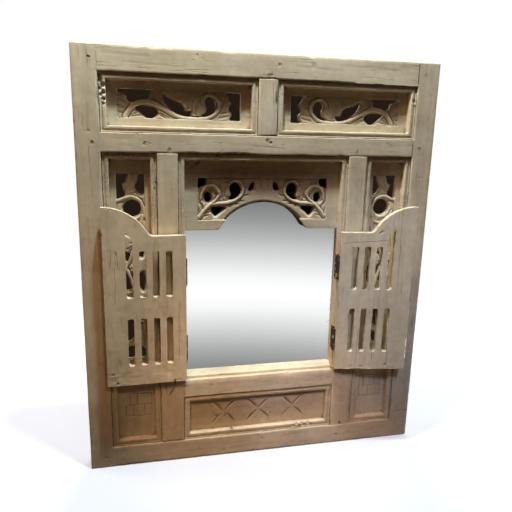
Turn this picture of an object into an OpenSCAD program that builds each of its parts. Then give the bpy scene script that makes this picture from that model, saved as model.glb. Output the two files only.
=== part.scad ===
// Wall mirror in a carved, painted wood frame with two small shutters.
// X runs across the frame, Y runs into the wall and Z is up.
// The origin is the middle of the back face, so the front face is at Y = -frame_t.

/* [Frame] */
// Width over the two stiles
frame_w = 800; // [760:5:860]
// Height over the top and bottom rails
frame_h = 934; // [910:1:990]
// Thickness of every frame member, front to back
frame_t = 55; // [50:1:65]
// Width of each outer stile
stile_w = 50.5; // [46:0.5:60]
// Height of the top rail
top_rail_h = 51; // [45:1:60]
// Height of the bottom rail
bottom_rail_h = 50; // [45:1:60]
// Height of the transom rail under the top bays
transom_h = 40; // [36:1:50]
// Height of the sill rail under the mirror, at its back
sill_h = 50; // [44:1:60]
// Clear height of the two top bays
top_bay_h = 118; // [110:1:130]
// Clear height of the bottom bay
bottom_bay_h = 112; // [104:1:124]
// Clear width between the two uprights beside the mirror
mirror_bay_w = 369; // [350:1:385]
// Width of each upright
upright_w = 52.5; // [48:0.5:60]
// Width of the short mullion between the top bays
mullion_w = 42; // [36:1:50]

/* [Joinery] */
// Length of the tenons that enter the stiles
stile_tenon_l = 32; // [24:1:38]
// Length of the tenons that enter a rail or an upright
rail_tenon_l = 16; // [12:1:17]
// Height of the shoulder left above and below a tenon
tenon_shoulder = 9; // [6:1:12]
// Radial gap round a screw
screw_gap = 0.05; // [0.02:0.01:0.1]
// Gap between a tenon or panel edge and the wood round it
joint_gap = 0.15; // [0.05:0.05:0.3]
// Spare depth at the end of a mortise
mortise_spare = 1; // [0.5:0.5:2]
// Diameter of the wooden draw pegs
peg_d = 7; // [5:0.5:9]
// Length of the draw pegs
peg_l = 38; // [34:1:44]
// Radial gap round a peg
peg_gap = 0.05; // [0.02:0.01:0.1]

/* [Panels] */
// Thickness of the panel boards
panel_t = 14; // [10:1:18]
// Distance from the front of the frame to the face of a panel
panel_depth = 18; // [14:1:22]
// Depth of the groove that holds a panel edge
groove_d = 8; // [6:1:10]
// Spare room for a panel edge in its groove
groove_spare = 1; // [0.5:0.5:2]
// Depth of the carved web below the face of its panel
web_sink = 3.5; // [2:0.5:5]
// Height of the carved stems above the web
stem_rise = 2.5; // [1:0.5:3]

/* [Bead mouldings] */
// Width of the bead mouldings planted round each bay
bead_w = 14; // [12:0.5:16]
// Width of the rebate in the uprights that takes the mirror bay beads
bead_rebate = 9; // [7:0.5:11]
// Width of the quirk between a bead and the frame
quirk_w = 1.6; // [1:0.2:2.5]
// Depth of the quirk
quirk_d = 2.4; // [1.5:0.3:4]
// Depth of the shallow hollow in the bead
hollow_d = 1.8; // [1:0.2:3]
// Width of the shallow hollow in the bead
hollow_w = 6; // [4:0.5:7]
// Radius of the rounded inner edge of the bead
bead_round = 3; // [2:0.5:4]

/* [Top panels] */
// Plain margin beside the carved window
top_margin_x = 21; // [16:1:28]
// Plain margin above and below the carved window
top_margin_z = 16; // [12:1:22]

/* [Side panels] */
// Plain margin beside the carved window
side_margin_x = 12.5; // [9:0.5:18]
// Plain margin above the carved window
side_margin_top = 30; // [24:1:40]
// Height of the plain wood below the carved window
side_plain_h = 187; // [160:1:220]
// Height of one incised brick
brick_h = 28; // [24:1:32]
// Height of the lowest brick line above the bottom rail
brick_foot = 66; // [40:1:80]
// Width of an incised line
incise_w = 2.6; // [1.5:0.2:4]
// Depth of an incised line
incise_d = 1.6; // [1:0.2:3]

/* [Arch panel] */
// Height of the arch panel, from its shoulders to the transom
arch_panel_h = 168; // [160:1:176]
// Width of the arch between its shoulders
arch_chord = 204.6; // [190:0.2:220]
// Rise of the arch above its shoulders
arch_rise = 62; // [54:1:68]
// Radius where the arch meets a shoulder
arch_foot_r = 10; // [6:1:16]
// Height of the plain band over the crown of the arch
band_crown = 16; // [12:1:20]
// Height of the plain band over a shoulder
band_shoulder = 22; // [18:1:28]
// Half width of the plain band where it meets the window sill
band_corner = 117; // [110:1:122]
// Plain margin beside the carved window
arch_margin_x = 30; // [24:1:36]
// Plain margin above the carved window
arch_margin_top = 38; // [32:1:44]

/* [Bottom panel] */
// Number of four petal crosses
cross_n = 3; // [2:1:4]
// Distance between two crosses
cross_pitch = 87; // [76:1:92]
// Length of a petal
petal_l = 39; // [30:1:42]
// Width of a petal
petal_w = 9; // [7:0.5:11]
// Depth of a petal
petal_d = 3; // [2:0.5:4]
// Bare wood between two petals at the middle of a cross
petal_gap = 1.5; // [1:0.5:3]

/* [Sill] */
// Height of the step along the front of the sill
sill_step_h = 7; // [5:0.5:10]
// Depth of the step along the front of the sill
sill_step_d = 8; // [6:0.5:10]

/* [Mirror] */
// Thickness of the mirror glass
glass_t = 4; // [3:0.5:6]
// Thickness of the backboard
backboard_t = 6; // [4:0.5:9]
// Overlap of the glass behind the frame
glass_lap = 12; // [8:1:15]
// Overlap of the backboard behind the frame
backboard_lap = 24; // [21:1:28]
// Spare room round the glass and the backboard
glass_spare = 1; // [0.5:0.5:2]

/* [Shutters] */
// Thickness of a shutter board
shutter_t = 16; // [14:1:18]
// Gap between the closed shutters
shutter_meet = 3.8; // [3:0.2:6]
// Gap between a shutter and the sill
shutter_foot_gap = 4; // [3:0.5:6]
// Gap between a shutter and the arch it follows
shutter_arch_gap = 4; // [3:0.5:6]
// Radius of the hollow in the top edge of a shutter
shutter_hollow_r = 14; // [10:1:28]
// Distance from the hinge edge to the middle of the first slot
slot_first = 36.5; // [32:0.5:42]
// Distance from slot to slot
slot_pitch = 28; // [26:0.5:30]
// Number of slots in a row
slot_n = 4; // [2:1:4]
// Width of the upper slots
slot_w_upper = 14.5; // [12:0.5:19]
// Width of the lower slots
slot_w_lower = 13.5; // [11:0.5:18]
// Radius in the corners of a slot
slot_r = 4; // [2:0.5:6]
// Wood below the lower slots
slot_foot = 45; // [38:1:60]
// Wood between the two rows of slots
slot_rail = 47; // [40:1:60]
// Wood above the short upper slots, at the low end of the board
slot_head = 32; // [28:1:45]
// Share of the slot height that the lower row takes
lower_share = 0.515; // [0.45:0.005:0.55]
// Wood left between the tall slot and the curved top edge
tall_slot_margin = 36; // [30:1:42]
// How far the left shutter stands open
left_open = 179; // [150:0.5:179]
// How far the right shutter stands open
right_open = 170.5; // [150:0.5:179]

/* [Hinges] */
// Height of a hinge
hinge_h = 57; // [50:1:64]
// Width of a leaf beyond the front of the frame
leaf_w = 15; // [13:0.5:15.5]
// Thickness of a leaf
leaf_t = 1.2; // [1:0.1:1.5]
// Gap between the two closed leaves
leaf_gap = 0.6; // [0.4:0.1:1]
// Outer diameter of a knuckle
knuckle_d = 5.8; // [5.2:0.1:6]
// Number of knuckles in a hinge
knuckle_n = 5; // [3:2:5]
// End gap between two knuckles
knuckle_gap = 0.3; // [0.2:0.05:0.5]
// Diameter of the hinge pin
pin_d = 3; // [2.6:0.1:3.2]
// Radial gap round the hinge pin
pin_gap = 0.05; // [0.03:0.01:0.08]
// Height of the head on each end of the pin
pin_head_h = 1.4; // [1:0.1:2]
// Distance from the pin axis to the front of the frame
pin_out = 3; // [3:0.1:3.5]
// Height of the lower hinge's middle above the foot of the board
lower_hinge_z = 72; // [60:1:90]
// Distance from the low end of the board's top down to the upper hinge's middle
upper_hinge_drop = 85; // [60:1:100]
// Distance from the front of the frame to the two outer screws of a leaf
leaf_screw_in = 6.3; // [5:0.1:8]
// How far the middle screw of a leaf is set back behind the outer two
leaf_screw_stagger = 3.6; // [0:0.1:4]
// Distance from the end of a leaf to its outer screws
leaf_screw_end = 5; // [4:0.5:8]
// Diameter of a leaf screw
leaf_screw_d = 2.8; // [2.4:0.1:3]
// Diameter of the head of a leaf screw
leaf_screw_head = 5; // [4.4:0.1:5.4]
// Length of a leaf screw
leaf_screw_l = 12; // [10:1:13]

/* [Wall plates] */
// Height of a hanging plate
plate_h = 52; // [46:1:60]
// Width of a hanging plate
plate_w = 22; // [18:1:26]
// Thickness of a hanging plate
plate_t = 2; // [1.5:0.5:3]
// Diameter of the hanging hole
hang_hole_d = 9; // [8:0.5:10]
// Distance from the top of the frame down to the hanging holes
hang_drop = 87; // [60:1:120]
// Depth of the pocket behind a hanging hole
hang_pocket_d = 12; // [10:1:16]
// Diameter of the pocket behind a hanging hole
hang_pocket_w = 17; // [15:1:18]
// Distance between the two screws of a plate
plate_screw_pitch = 40; // [36:1:44]
// Diameter of the plate and backboard screws
back_screw_d = 3.4; // [3:0.1:3.8]
// Diameter of the heads of the plate and backboard screws
back_screw_head = 6.4; // [6:0.1:7]
// Length of the plate and backboard screws
back_screw_l = 20; // [16:1:24]

/* [Hidden] */

$fn = 48;
arch_fn = 96; // facets of the large arch circles in the preview mesh
lens_fn = 120; // facets of the spheres that cut the petals
bite = 0.5; // how far a cutter reaches past the face it opens

// Levels in Y
front_y = -frame_t;
panel_y = front_y + panel_depth;
panel_back_y = panel_y + panel_t;
glass_y = -(glass_t + backboard_t);

// Levels in Z
z_top = frame_h / 2;
z_bot = -frame_h / 2;
top_bay_z1 = z_top - top_rail_h;
top_bay_z0 = top_bay_z1 - top_bay_h;
transom_z0 = top_bay_z0 - transom_h;
bottom_bay_z0 = z_bot + bottom_rail_h;
sill_z0 = bottom_bay_z0 + bottom_bay_h;
sill_z1 = sill_z0 + sill_h;
sill_edge_z = sill_z1 - sill_step_h;

// Places in X, measured from the middle
stile_in = frame_w / 2 - stile_w;
upright_in = mirror_bay_w / 2;
upright_out = upright_in + upright_w;
mullion_x = mullion_w / 2;
jamb_x = upright_in + bead_rebate - bead_w;

// Bays as [x0, x1, z0, z1]
top_bay = [mullion_x, stile_in, top_bay_z0, top_bay_z1];
side_bay = [upright_out, stile_in, bottom_bay_z0, transom_z0];
bottom_bay = [-upright_in, upright_in, bottom_bay_z0, sill_z0];

// Arch
shoulder_z = transom_z0 - arch_panel_h;
crown_z = shoulder_z + arch_rise;
arch_r = (pow(arch_chord / 2, 2) + pow(arch_rise, 2)) / (2 * arch_rise);
arch_cz = crown_z - arch_r;
band_bottom_z = shoulder_z + band_shoulder;
band_top_z = crown_z + band_crown;
band_rise = band_top_z - band_bottom_z;
band_r = (pow(band_corner, 2) + pow(band_rise, 2)) / (2 * band_rise);
band_cz = band_top_z - band_r;
arch_win_x = jamb_x - arch_margin_x;
arch_win_z1 = transom_z0 - bead_w - arch_margin_top;

// Hinges: the pin stands in front of the frame, midway between the closed leaves
pin_x = jamb_x - leaf_t - leaf_gap / 2;
pin_y = front_y - pin_out;
board_x = pin_x - leaf_gap / 2 - leaf_t;
shutter_w = board_x - shutter_meet / 2;
shutter_z0 = sill_z1 + shutter_foot_gap;
shutter_flat_z = shoulder_z - shutter_arch_gap;
shutter_r = arch_r - shutter_arch_gap;
lower_hinge = shutter_z0 + lower_hinge_z;
upper_hinge = shutter_flat_z - upper_hinge_drop;
slots_h = shutter_flat_z - shutter_z0 - slot_foot - slot_rail - slot_head;
lower_slot_z = shutter_z0 + slot_foot;
lower_slot_h = slots_h * lower_share;
upper_slot_z = lower_slot_z + lower_slot_h + slot_rail;
upper_slot_h = slots_h - lower_slot_h;

// Wall plates
plate_x = frame_w / 2 - stile_w / 2;
hang_z = z_top - hang_drop;

wood = [0.78, 0.72, 0.60];
wood_shade = [0.70, 0.64, 0.52];
iron = [0.30, 0.22, 0.17];
steel = [0.62, 0.62, 0.60];
mirror_tint = [0.80, 0.84, 0.86];

// ---------- helpers ----------

// A flat shape drawn in X and Z, given the thickness t in front of the level y
module plate(y, t) {
    translate([0, y, 0]) rotate([90, 0, 0]) linear_extrude(t) children();
}

// A block between two levels on each axis
module block(x, y, z) {
    translate([x[0], y[0], z[0]]) cube([x[1] - x[0], y[1] - y[0], z[1] - z[0]]);
}

// A rectangle with true round corners
module round_rect(x, z, r) {
    translate([x[0] + r, z[0]]) square([x[1] - x[0] - 2 * r, z[1] - z[0]]);
    translate([x[0], z[0] + r]) square([x[1] - x[0], z[1] - z[0] - 2 * r]);
    for (cx = [x[0] + r, x[1] - r], cz = [z[0] + r, z[1] - r])
        translate([cx, cz]) circle(r);
}

// A rod along Y from the level y0 to the level y1
module rod_y(x, z, d, y0, y1) {
    translate([x, y1, z]) rotate([90, 0, 0]) cylinder(d = d, h = y1 - y0);
}

module both_sides() {
    children();
    mirror([1, 0, 0]) children();
}

// Catmull-Rom point between b and c
function cr(a, b, c, d, t) = 0.5 * (2 * b + (c - a) * t + (2 * a - 5 * b + 4 * c - d) * t * t
    + (3 * b - a - 3 * c + d) * t * t * t);

// A smooth closed outline through a few points
function loop_through(p, n = 4) = [for (i = [0:len(p) - 1], k = [0:n - 1])
    cr(p[(i + len(p) - 1) % len(p)], p[i], p[(i + 1) % len(p)], p[(i + 2) % len(p)], k / n)];

// A smooth open line through a few points
function line_through(p, n = 4) = concat([for (i = [0:len(p) - 2], k = [0:n - 1])
    cr(p[max(i - 1, 0)], p[i], p[i + 1], p[min(i + 2, len(p) - 1)], k / n)], [p[len(p) - 1]]);

function side_of(q, i) = let (a = q[max(i - 1, 0)], b = q[min(i + 1, len(q) - 1)], d = b - a)
    [-d[1], d[0]] / norm(d);

// A stem of changing width along a smooth line
module stem(p, w0, w1, n = 4) {
    q = line_through(p, n);
    m = len(q) - 1;
    left = [for (i = [0:m]) q[i] + side_of(q, i) * (w0 + (w1 - w0) * i / m) / 2];
    right = [for (i = [m:-1:0]) q[i] - side_of(q, i) * (w0 + (w1 - w0) * i / m) / 2];
    polygon(concat(left, right));
}

module hole(p, n = 4) {
    polygon(loop_through(p, n));
}

// ---------- joints in the frame ----------

// Tenons of a rail at both ends, outside the half width xw
module rail_tenons(xw, z, l, gap = 0, spare = 0) {
    both_sides()
        block([xw, xw + l + spare], [panel_y - gap, panel_back_y + gap],
            [z[0] + tenon_shoulder - gap, z[1] - tenon_shoulder + gap]);
}

// Tenons of a standing member at both ends
module post_tenons(x, z, l, gap = 0, spare = 0) {
    block([x[0] + tenon_shoulder - gap, x[1] - tenon_shoulder + gap],
        [panel_y - gap, panel_back_y + gap], [z[0] - l - spare, z[1] + l + spare]);
}

// All the mortises in the two stiles
module stile_mortises() {
    for (z = [[top_bay_z1, z_top], [transom_z0, top_bay_z0], [z_bot, bottom_bay_z0]])
        rail_tenons(stile_in, z, stile_tenon_l, joint_gap, mortise_spare);
}

module upright_tenons(gap = 0, spare = 0) {
    both_sides()
        post_tenons([upright_in, upright_out], [bottom_bay_z0, transom_z0], rail_tenon_l, gap, spare);
}

module mullion_tenons(gap = 0, spare = 0) {
    post_tenons([-mullion_x, mullion_x], [top_bay_z0, top_bay_z1], rail_tenon_l, gap, spare);
}

module sill_tenons(gap = 0, spare = 0) {
    rail_tenons(upright_in, [sill_z0, sill_edge_z], rail_tenon_l, gap, spare);
}

// The groove round one bay
module bay_groove(b) {
    block([b[0] - groove_d, b[1] + groove_d], [panel_y - joint_gap, panel_back_y + joint_gap],
        [b[2] - groove_d, b[3] + groove_d]);
}

module panel_grooves() {
    both_sides() {
        bay_groove(top_bay);
        bay_groove(side_bay);
    }
    bay_groove(bottom_bay);
    block([-upright_in - groove_d, upright_in + groove_d],
        [panel_y - joint_gap, panel_back_y + joint_gap], [shoulder_z - joint_gap, transom_z0 + groove_d]);
}

// The rebates behind the mirror bay for the glass and the backboard
module mirror_rebates() {
    for (step = [[glass_lap, glass_y], [backboard_lap, -backboard_t]])
        block([-upright_in - step[0], upright_in + step[0]], [step[1], bite],
            [sill_z1 - step[0], transom_z0 + step[0]]);
}

// The rebate in the front of the uprights for the jamb beads
module bead_rebates() {
    both_sides()
        block([upright_in - bite, upright_in + bead_rebate], [front_y - bite, panel_y],
            [sill_edge_z, transom_z0]);
}

// Peg places as [x, z]
peg_places = [
    [stile_in + stile_tenon_l / 2, (z_top + top_bay_z1) / 2],
    [stile_in + stile_tenon_l / 2, (top_bay_z0 + transom_z0) / 2],
    [stile_in + stile_tenon_l / 2, (z_bot + bottom_bay_z0) / 2],
    [(upright_in + upright_out) / 2, transom_z0 + rail_tenon_l / 2],
    [(upright_in + upright_out) / 2, bottom_bay_z0 - rail_tenon_l / 2],
    [upright_in + rail_tenon_l / 2, (sill_z0 + sill_edge_z) / 2]];
mid_peg_places = [
    [0, top_bay_z1 + rail_tenon_l / 2],
    [0, top_bay_z0 - rail_tenon_l / 2]];

module pegs(d, y0, y1) {
    both_sides()
        for (p = peg_places)
            rod_y(p[0], p[1], d, y0, y1);
    for (p = mid_peg_places)
        rod_y(p[0], p[1], d, y0, y1);
}

module peg_holes() {
    pegs(peg_d + 2 * peg_gap, front_y - bite, front_y + peg_l);
}

// ---------- frame members ----------

module stile() {
    difference() {
        block([stile_in, frame_w / 2], [front_y, 0], [z_bot, z_top]);
        stile_mortises();
        panel_grooves();
        peg_holes();
        plate_recess();
    }
}

module rail(xw, z) {
    block([-xw, xw], [front_y, 0], z);
}

module stile_left() {
    color(wood) mirror([1, 0, 0]) stile();
}

module stile_right() {
    color(wood) stile();
}

module top_rail() {
    color(wood) difference() {
        union() {
            rail(stile_in, [top_bay_z1, z_top]);
            rail_tenons(stile_in, [top_bay_z1, z_top], stile_tenon_l);
        }
        mullion_tenons(joint_gap, mortise_spare);
        intersection() {
            panel_grooves();
            rail(stile_in, [top_bay_z1, z_top]);
        }
        peg_holes();
    }
}

module transom_rail() {
    color(wood) difference() {
        union() {
            rail(stile_in, [transom_z0, top_bay_z0]);
            rail_tenons(stile_in, [transom_z0, top_bay_z0], stile_tenon_l);
        }
        mullion_tenons(joint_gap, mortise_spare);
        upright_tenons(joint_gap, mortise_spare);
        intersection() {
            panel_grooves();
            rail(stile_in, [transom_z0, top_bay_z0]);
        }
        mirror_rebates();
        peg_holes();
        backboard_screw_holes();
    }
}

module sill_rail() {
    color(wood) difference() {
        union() {
            rail(upright_in, [sill_z0, sill_z1]);
            sill_tenons();
        }
        block([-upright_in - bite, upright_in + bite], [front_y - bite, front_y + sill_step_d],
            [sill_edge_z, sill_z1 + bite]);
        intersection() {
            panel_grooves();
            rail(upright_in, [sill_z0, sill_z1]);
        }
        mirror_rebates();
        peg_holes();
        backboard_screw_holes();
    }
}

module bottom_rail() {
    color(wood) difference() {
        union() {
            rail(stile_in, [z_bot, bottom_bay_z0]);
            rail_tenons(stile_in, [z_bot, bottom_bay_z0], stile_tenon_l);
        }
        upright_tenons(joint_gap, mortise_spare);
        intersection() {
            panel_grooves();
            rail(stile_in, [z_bot, bottom_bay_z0]);
        }
        peg_holes();
    }
}

module mullion() {
    color(wood) difference() {
        union() {
            block([-mullion_x, mullion_x], [front_y, 0], [top_bay_z0, top_bay_z1]);
            mullion_tenons();
        }
        intersection() {
            panel_grooves();
            block([-mullion_x, mullion_x], [front_y, 0], [top_bay_z0, top_bay_z1]);
        }
        peg_holes();
    }
}

module upright() {
    difference() {
        union() {
            block([upright_in, upright_out], [front_y, 0], [bottom_bay_z0, transom_z0]);
            post_tenons([upright_in, upright_out], [bottom_bay_z0, transom_z0], rail_tenon_l);
        }
        sill_tenons(joint_gap, mortise_spare);
        intersection() {
            panel_grooves();
            block([upright_in, upright_out], [front_y, 0], [bottom_bay_z0, transom_z0]);
        }
        bead_rebates();
        mirror_rebates();
        peg_holes();
        backboard_screw_holes();
    }
}

module upright_left() {
    color(wood) mirror([1, 0, 0]) upright();
}

module upright_right() {
    color(wood) upright();
}

module joint_pegs() {
    color(wood_shade) pegs(peg_d, front_y, front_y + peg_l - mortise_spare);
}

// ---------- panels ----------

// A panel board for a bay, seated in the grooves
module board_outline(b) {
    lip = groove_d - groove_spare;
    translate([b[0] - lip, b[2] - lip]) square([b[1] - b[0] + 2 * lip, b[3] - b[2] + 2 * lip]);
}

// Carved scroll of a top bay, drawn on a field of 256 by 57 mm, mullion side at the left
top_field = [256, 57];
top_holes = [
    [[192, 60], [255, 60], [249, 50], [238, 47], [233, 35], [216, 33], [197, 36], [194, 48]],
    [[163, 48], [153, 42], [142, 37], [130, 34], [122, 28], [117, 17], [106, 17], [109, 7],
        [119, 4], [133, 9], [146, 18], [157, 29], [162, 39]],
    [[221, 23], [200, 25], [180, 21], [175, 12], [186, 2], [198, 3], [209, 11]],
    [[70, 46], [59, 44], [53, 32], [56, 16], [66, 8], [80, 3], [83, 8], [75, 14], [72, 24], [76, 35]],
    [[27, 60], [-4, 60], [-4, -3], [23, -3], [18, 13], [25, 24], [19, 36], [26, 47]]];
top_stem = [[242, 2], [226, 24], [206, 33], [186, 32], [166, 22], [146, 11], [126, 4], [96, 1.5],
    [66, 6], [49, 20], [45, 36], [54, 48], [68, 52.5], [80, 46], [84, 34]];

// The window of a top panel as [x0, x1, z0, z1]
top_win = [top_bay[0] + bead_w + top_margin_x, top_bay[1] - bead_w - top_margin_x,
    top_bay[2] + bead_w + top_margin_z, top_bay[3] - bead_w - top_margin_z];

// Points of a field moved and stretched onto a window
function onto(p, field, win) = [for (q = p) [win[0] + q[0] * (win[1] - win[0]) / field[0],
    win[2] + q[1] * (win[3] - win[2]) / field[1]]];

module window(win) {
    translate([win[0], win[2]]) square([win[1] - win[0], win[3] - win[2]]);
}

// A board with a window, a pierced web in it and raised stems on the web.
// Children: 0 the board, 1 the window, 2 the holes, 3 the stems
module fret_panel() {
    plate(panel_back_y, panel_t) difference() {
        children(0);
        children(1);
    }
    plate(panel_back_y, panel_t - web_sink) difference() {
        intersection() {
            children(0);
            children(1);
        }
        difference() {
            children(2);
            children(3);
        }
    }
    plate(panel_back_y, panel_t - web_sink + stem_rise) intersection() {
        children(1);
        children(3);
    }
}

module top_panel() {
    fret_panel() {
        board_outline(top_bay);
        window(top_win);
        for (h = top_holes)
            hole(onto(h, top_field, top_win));
        stem(onto(top_stem, top_field, top_win), 9.5, 5.5);
    }
}

module top_panel_left() {
    color(wood_shade) mirror([1, 0, 0]) top_panel();
}

module top_panel_right() {
    color(wood_shade) top_panel();
}

// Carved leaves of a side bay, drawn on a field of 59 by 430 mm, upright side at the left,
// measured up from the foot of the window
side_field = [59, 430];
side_holes = [
    [[-2, 433], [10, 434], [14, 415], [19, 404], [17, 395], [10, 386], [-2, 392]],
    [[62, 434], [34, 434], [37, 423], [41, 411], [47, 407], [44, 395], [42, 388], [45, 379],
        [57, 372], [62, 390]],
    [[50, 312], [40, 298], [26, 296], [22, 306], [36, 314]],
    [[52, 258], [42, 238], [30, 240], [28, 250], [40, 256]],
    [[52, 210], [34, 214], [26, 196], [30, 176], [46, 172], [54, 190]],
    [[20, 268], [8, 276], [4, 262], [8, 246], [18, 252]],
    [[16, 206], [6, 212], [3, 192], [7, 168], [16, 182]],
    [[50, 124], [30, 130], [28, 92], [31, 60], [46, 52], [52, 88]],
    [[16, 122], [6, 118], [6, 100], [16, 98]],
    [[50, 32], [32, 36], [26, 22], [34, 10], [50, 12]],
    [[17, 34], [8, 30], [7, 12], [17, 12]]];
side_ring = [27, 355];
side_ring_r = 18;
ring_outline = [for (a = [0:45:315]) side_ring + side_ring_r * [cos(a), sin(a)]];
side_stems = [
    [[57, 372], [40, 379], [28, 381], [12, 374], [4, 358], [2, 338]],
    [[4, 340], [10, 322], [30, 318], [48, 328], [54, 346]],
    [[3, 325], [8, 300], [24, 270], [40, 228], [54, 222], [57, 240]],
    [[57, 226], [40, 216], [24, 160], [20, 120], [24, 80], [20, 40], [30, 2]],
    [[22, 150], [40, 148], [56, 132]],
    [[20, 46], [38, 44], [57, 56]]];

side_win = [side_bay[0] + bead_w + side_margin_x, side_bay[1] - bead_w - side_margin_x,
    side_bay[2] + bead_w + side_plain_h, side_bay[3] - bead_w - side_margin_top];

module side_panel_holes() {
    for (h = concat(side_holes, [ring_outline]))
        hole(onto(h, side_field, side_win));
}

module side_panel_stems() {
    for (s = side_stems)
        stem(onto(s, side_field, side_win), 6.5, 4.5);
}

// Brick joints in X from the middle of the bay, lowest row first, cut by hand on each side
brick_joints_left = [[-34.5, -18, 8, 25], [-34.5, -1.5, 14]];
brick_joints_right = [[-27.5, -3, 29.5], [-27.5, -18, 13, 29.5]];

// A straight incised line from a to b
module incised(a, b) {
    translate([min(a[0], b[0]) - incise_w / 2, min(a[1], b[1]) - incise_w / 2])
        square([abs(b[0] - a[0]) + incise_w, abs(b[1] - a[1]) + incise_w]);
}

// Bricks incised below the carved window
module brick_lines(rows) {
    x0 = (side_bay[0] + side_bay[1]) / 2;
    z0 = side_bay[2] + brick_foot;
    for (r = [0:len(rows) - 1], x = rows[r])
        incised([x0 + x, z0 + r * brick_h], [x0 + x, z0 + (r + 1) * brick_h]);
    for (r = [0:len(rows)]) {
        row = rows[max(r - 1, 0)];
        incised([x0 + row[0], z0 + r * brick_h], [x0 + row[len(row) - 1], z0 + r * brick_h]);
    }
}

module side_panel(bricks) {
    difference() {
        fret_panel() {
            board_outline(side_bay);
            window(side_win);
            side_panel_holes();
            side_panel_stems();
        }
        plate(panel_y + incise_d, incise_d + bite) brick_lines(bricks);
    }
}

module side_panel_left() {
    color(wood_shade) mirror([1, 0, 0]) side_panel(brick_joints_left);
}

module side_panel_right() {
    color(wood_shade) side_panel(brick_joints_right);
}

// The shape under an arch of radius r that stands on the level z,
// with hollows of radius foot_r where the arch meets that level
module arch_shape(r, z, foot_r) {
    rise = z + foot_r - arch_cz;
    foot_x = sqrt(pow(r + foot_r, 2) - pow(rise, 2));
    touch_z = arch_cz + rise * r / (r + foot_r);
    intersection() {
        translate([0, arch_cz]) circle(r, $fn = arch_fn);
        translate([-r, z - bite]) square(2 * r);
    }
    difference() {
        translate([-foot_x, z - bite]) square([2 * foot_x, touch_z - z + bite]);
        for (s = [-1, 1])
            translate([s * foot_x, z + foot_r]) circle(foot_r);
    }
}

module arch_board() {
    lip = groove_d - groove_spare;
    difference() {
        translate([-upright_in - lip, shoulder_z])
            square([2 * (upright_in + lip), transom_z0 + lip - shoulder_z]);
        arch_shape(arch_r, shoulder_z, arch_foot_r);
    }
}

module arch_window() {
    difference() {
        window([-arch_win_x, arch_win_x, band_bottom_z, arch_win_z1]);
        translate([0, band_cz]) circle(band_r, $fn = arch_fn);
    }
}

// Carved scroll of the arch panel, right half, on a field of 149 by 94 mm from the middle
arch_field = [149, 94];
arch_holes = [
    [[151, 96], [136, 95], [131, 88], [133, 80], [142, 75], [151, 72]],
    [[126, 61], [120, 55], [121, 43], [130, 41], [134, 50], [132, 60]],
    [[68, 82], [57, 78], [52, 66], [57, 54], [70, 46], [79, 48], [73, 56], [76, 66], [76, 76]],
    [[118, 27], [104, 29], [90, 28], [96, 21], [108, 10], [114, 14]],
    [[35, 68], [29, 80], [23, 82], [24, 70], [29, 66]]];
arch_stems = [
    [[146, 6], [134, 22], [122, 34], [108, 46], [99, 60]],
    [[120, 35], [104, 37], [86, 38], [64, 45], [50, 58], [49, 72], [56, 84], [70, 87], [80, 78]],
    [[46, 56], [36, 62], [20, 66], [-2, 67]],
    [[147, 60], [138, 40], [144, 18]]];

module arch_holes_2d() {
    win = [0, arch_win_x, band_bottom_z, arch_win_z1];
    both_sides()
        for (h = arch_holes)
            hole(onto(h, arch_field, win));
}

module arch_stems_2d() {
    win = [0, arch_win_x, band_bottom_z, arch_win_z1];
    both_sides()
        for (s = arch_stems)
            stem(onto(s, arch_field, win), 7, 4.5);
}

module arch_panel() {
    color(wood_shade) fret_panel() {
        arch_board();
        arch_window();
        arch_holes_2d();
        arch_stems_2d();
    }
}

// A petal is cut by the lens where two spheres meet: pointed ends and a V-shaped floor.
// The rim of the lens has the radius lens_r and dips petal_d below the panel face.
lens_r = (pow(petal_l / 2, 2) + pow(petal_d, 2)) / (2 * petal_d);
lens_shift = (pow(petal_l / 2, 2) - pow(petal_w / 2, 2)) / petal_w;
lens_sphere_r = norm([lens_r, lens_shift]);

module petal() {
    intersection() {
        translate([0, petal_d - lens_r, -lens_shift]) sphere(lens_sphere_r, $fn = lens_fn);
        translate([0, petal_d - lens_r, lens_shift]) sphere(lens_sphere_r, $fn = lens_fn);
    }
}

module cross_cut() {
    for (a = [45:90:315])
        rotate([0, a, 0]) translate([petal_gap + petal_l / 2, 0, 0]) petal();
}

module bottom_panel() {
    color(wood_shade) difference() {
        plate(panel_back_y, panel_t) board_outline(bottom_bay);
        for (i = [0:cross_n - 1])
            translate([(i - (cross_n - 1) / 2) * cross_pitch, panel_y, (bottom_bay[2] + bottom_bay[3]) / 2])
                cross_cut();
    }
}

// ---------- bead mouldings ----------

// Section of a bead: x is Y in the frame, y runs from the member to the bay
module bead_profile() {
    hollow_r = (pow(hollow_w / 2, 2) + pow(hollow_d, 2)) / (2 * hollow_d);
    difference() {
        translate([front_y, 0]) square([panel_depth, bead_w]);
        translate([front_y - bite, -bite]) square([quirk_d + bite, quirk_w + bite]);
        translate([front_y - hollow_r + hollow_d, quirk_w + hollow_w / 2]) circle(hollow_r);
        translate([front_y, bead_w - bead_round]) difference() {
            translate([-bite, 0]) square([bead_round + bite, bead_round + bite]);
            translate([bead_round, 0]) circle(bead_round);
        }
    }
}

// One strip along X, standing up from Z = 0, mitred where m0 and m1 are 1
module bead_strip(l, m0 = 1, m1 = 1) {
    intersection() {
        rotate([90, 0, 90]) linear_extrude(l) bead_profile();
        plate(0, frame_t) polygon([[0, 0], [l, 0], [l - m1 * bead_w, bead_w], [m0 * bead_w, bead_w]]);
    }
}

module bead_bottom(b) {
    translate([b[0], 0, b[2]]) bead_strip(b[1] - b[0]);
}

module bead_top(b) {
    translate([b[0], 0, b[3]]) mirror([0, 0, 1]) bead_strip(b[1] - b[0]);
}

module bead_outer(b, m0 = 1) {
    translate([b[1], 0, b[2]]) rotate([0, -90, 0]) bead_strip(b[3] - b[2], m0, 1);
}

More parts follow.
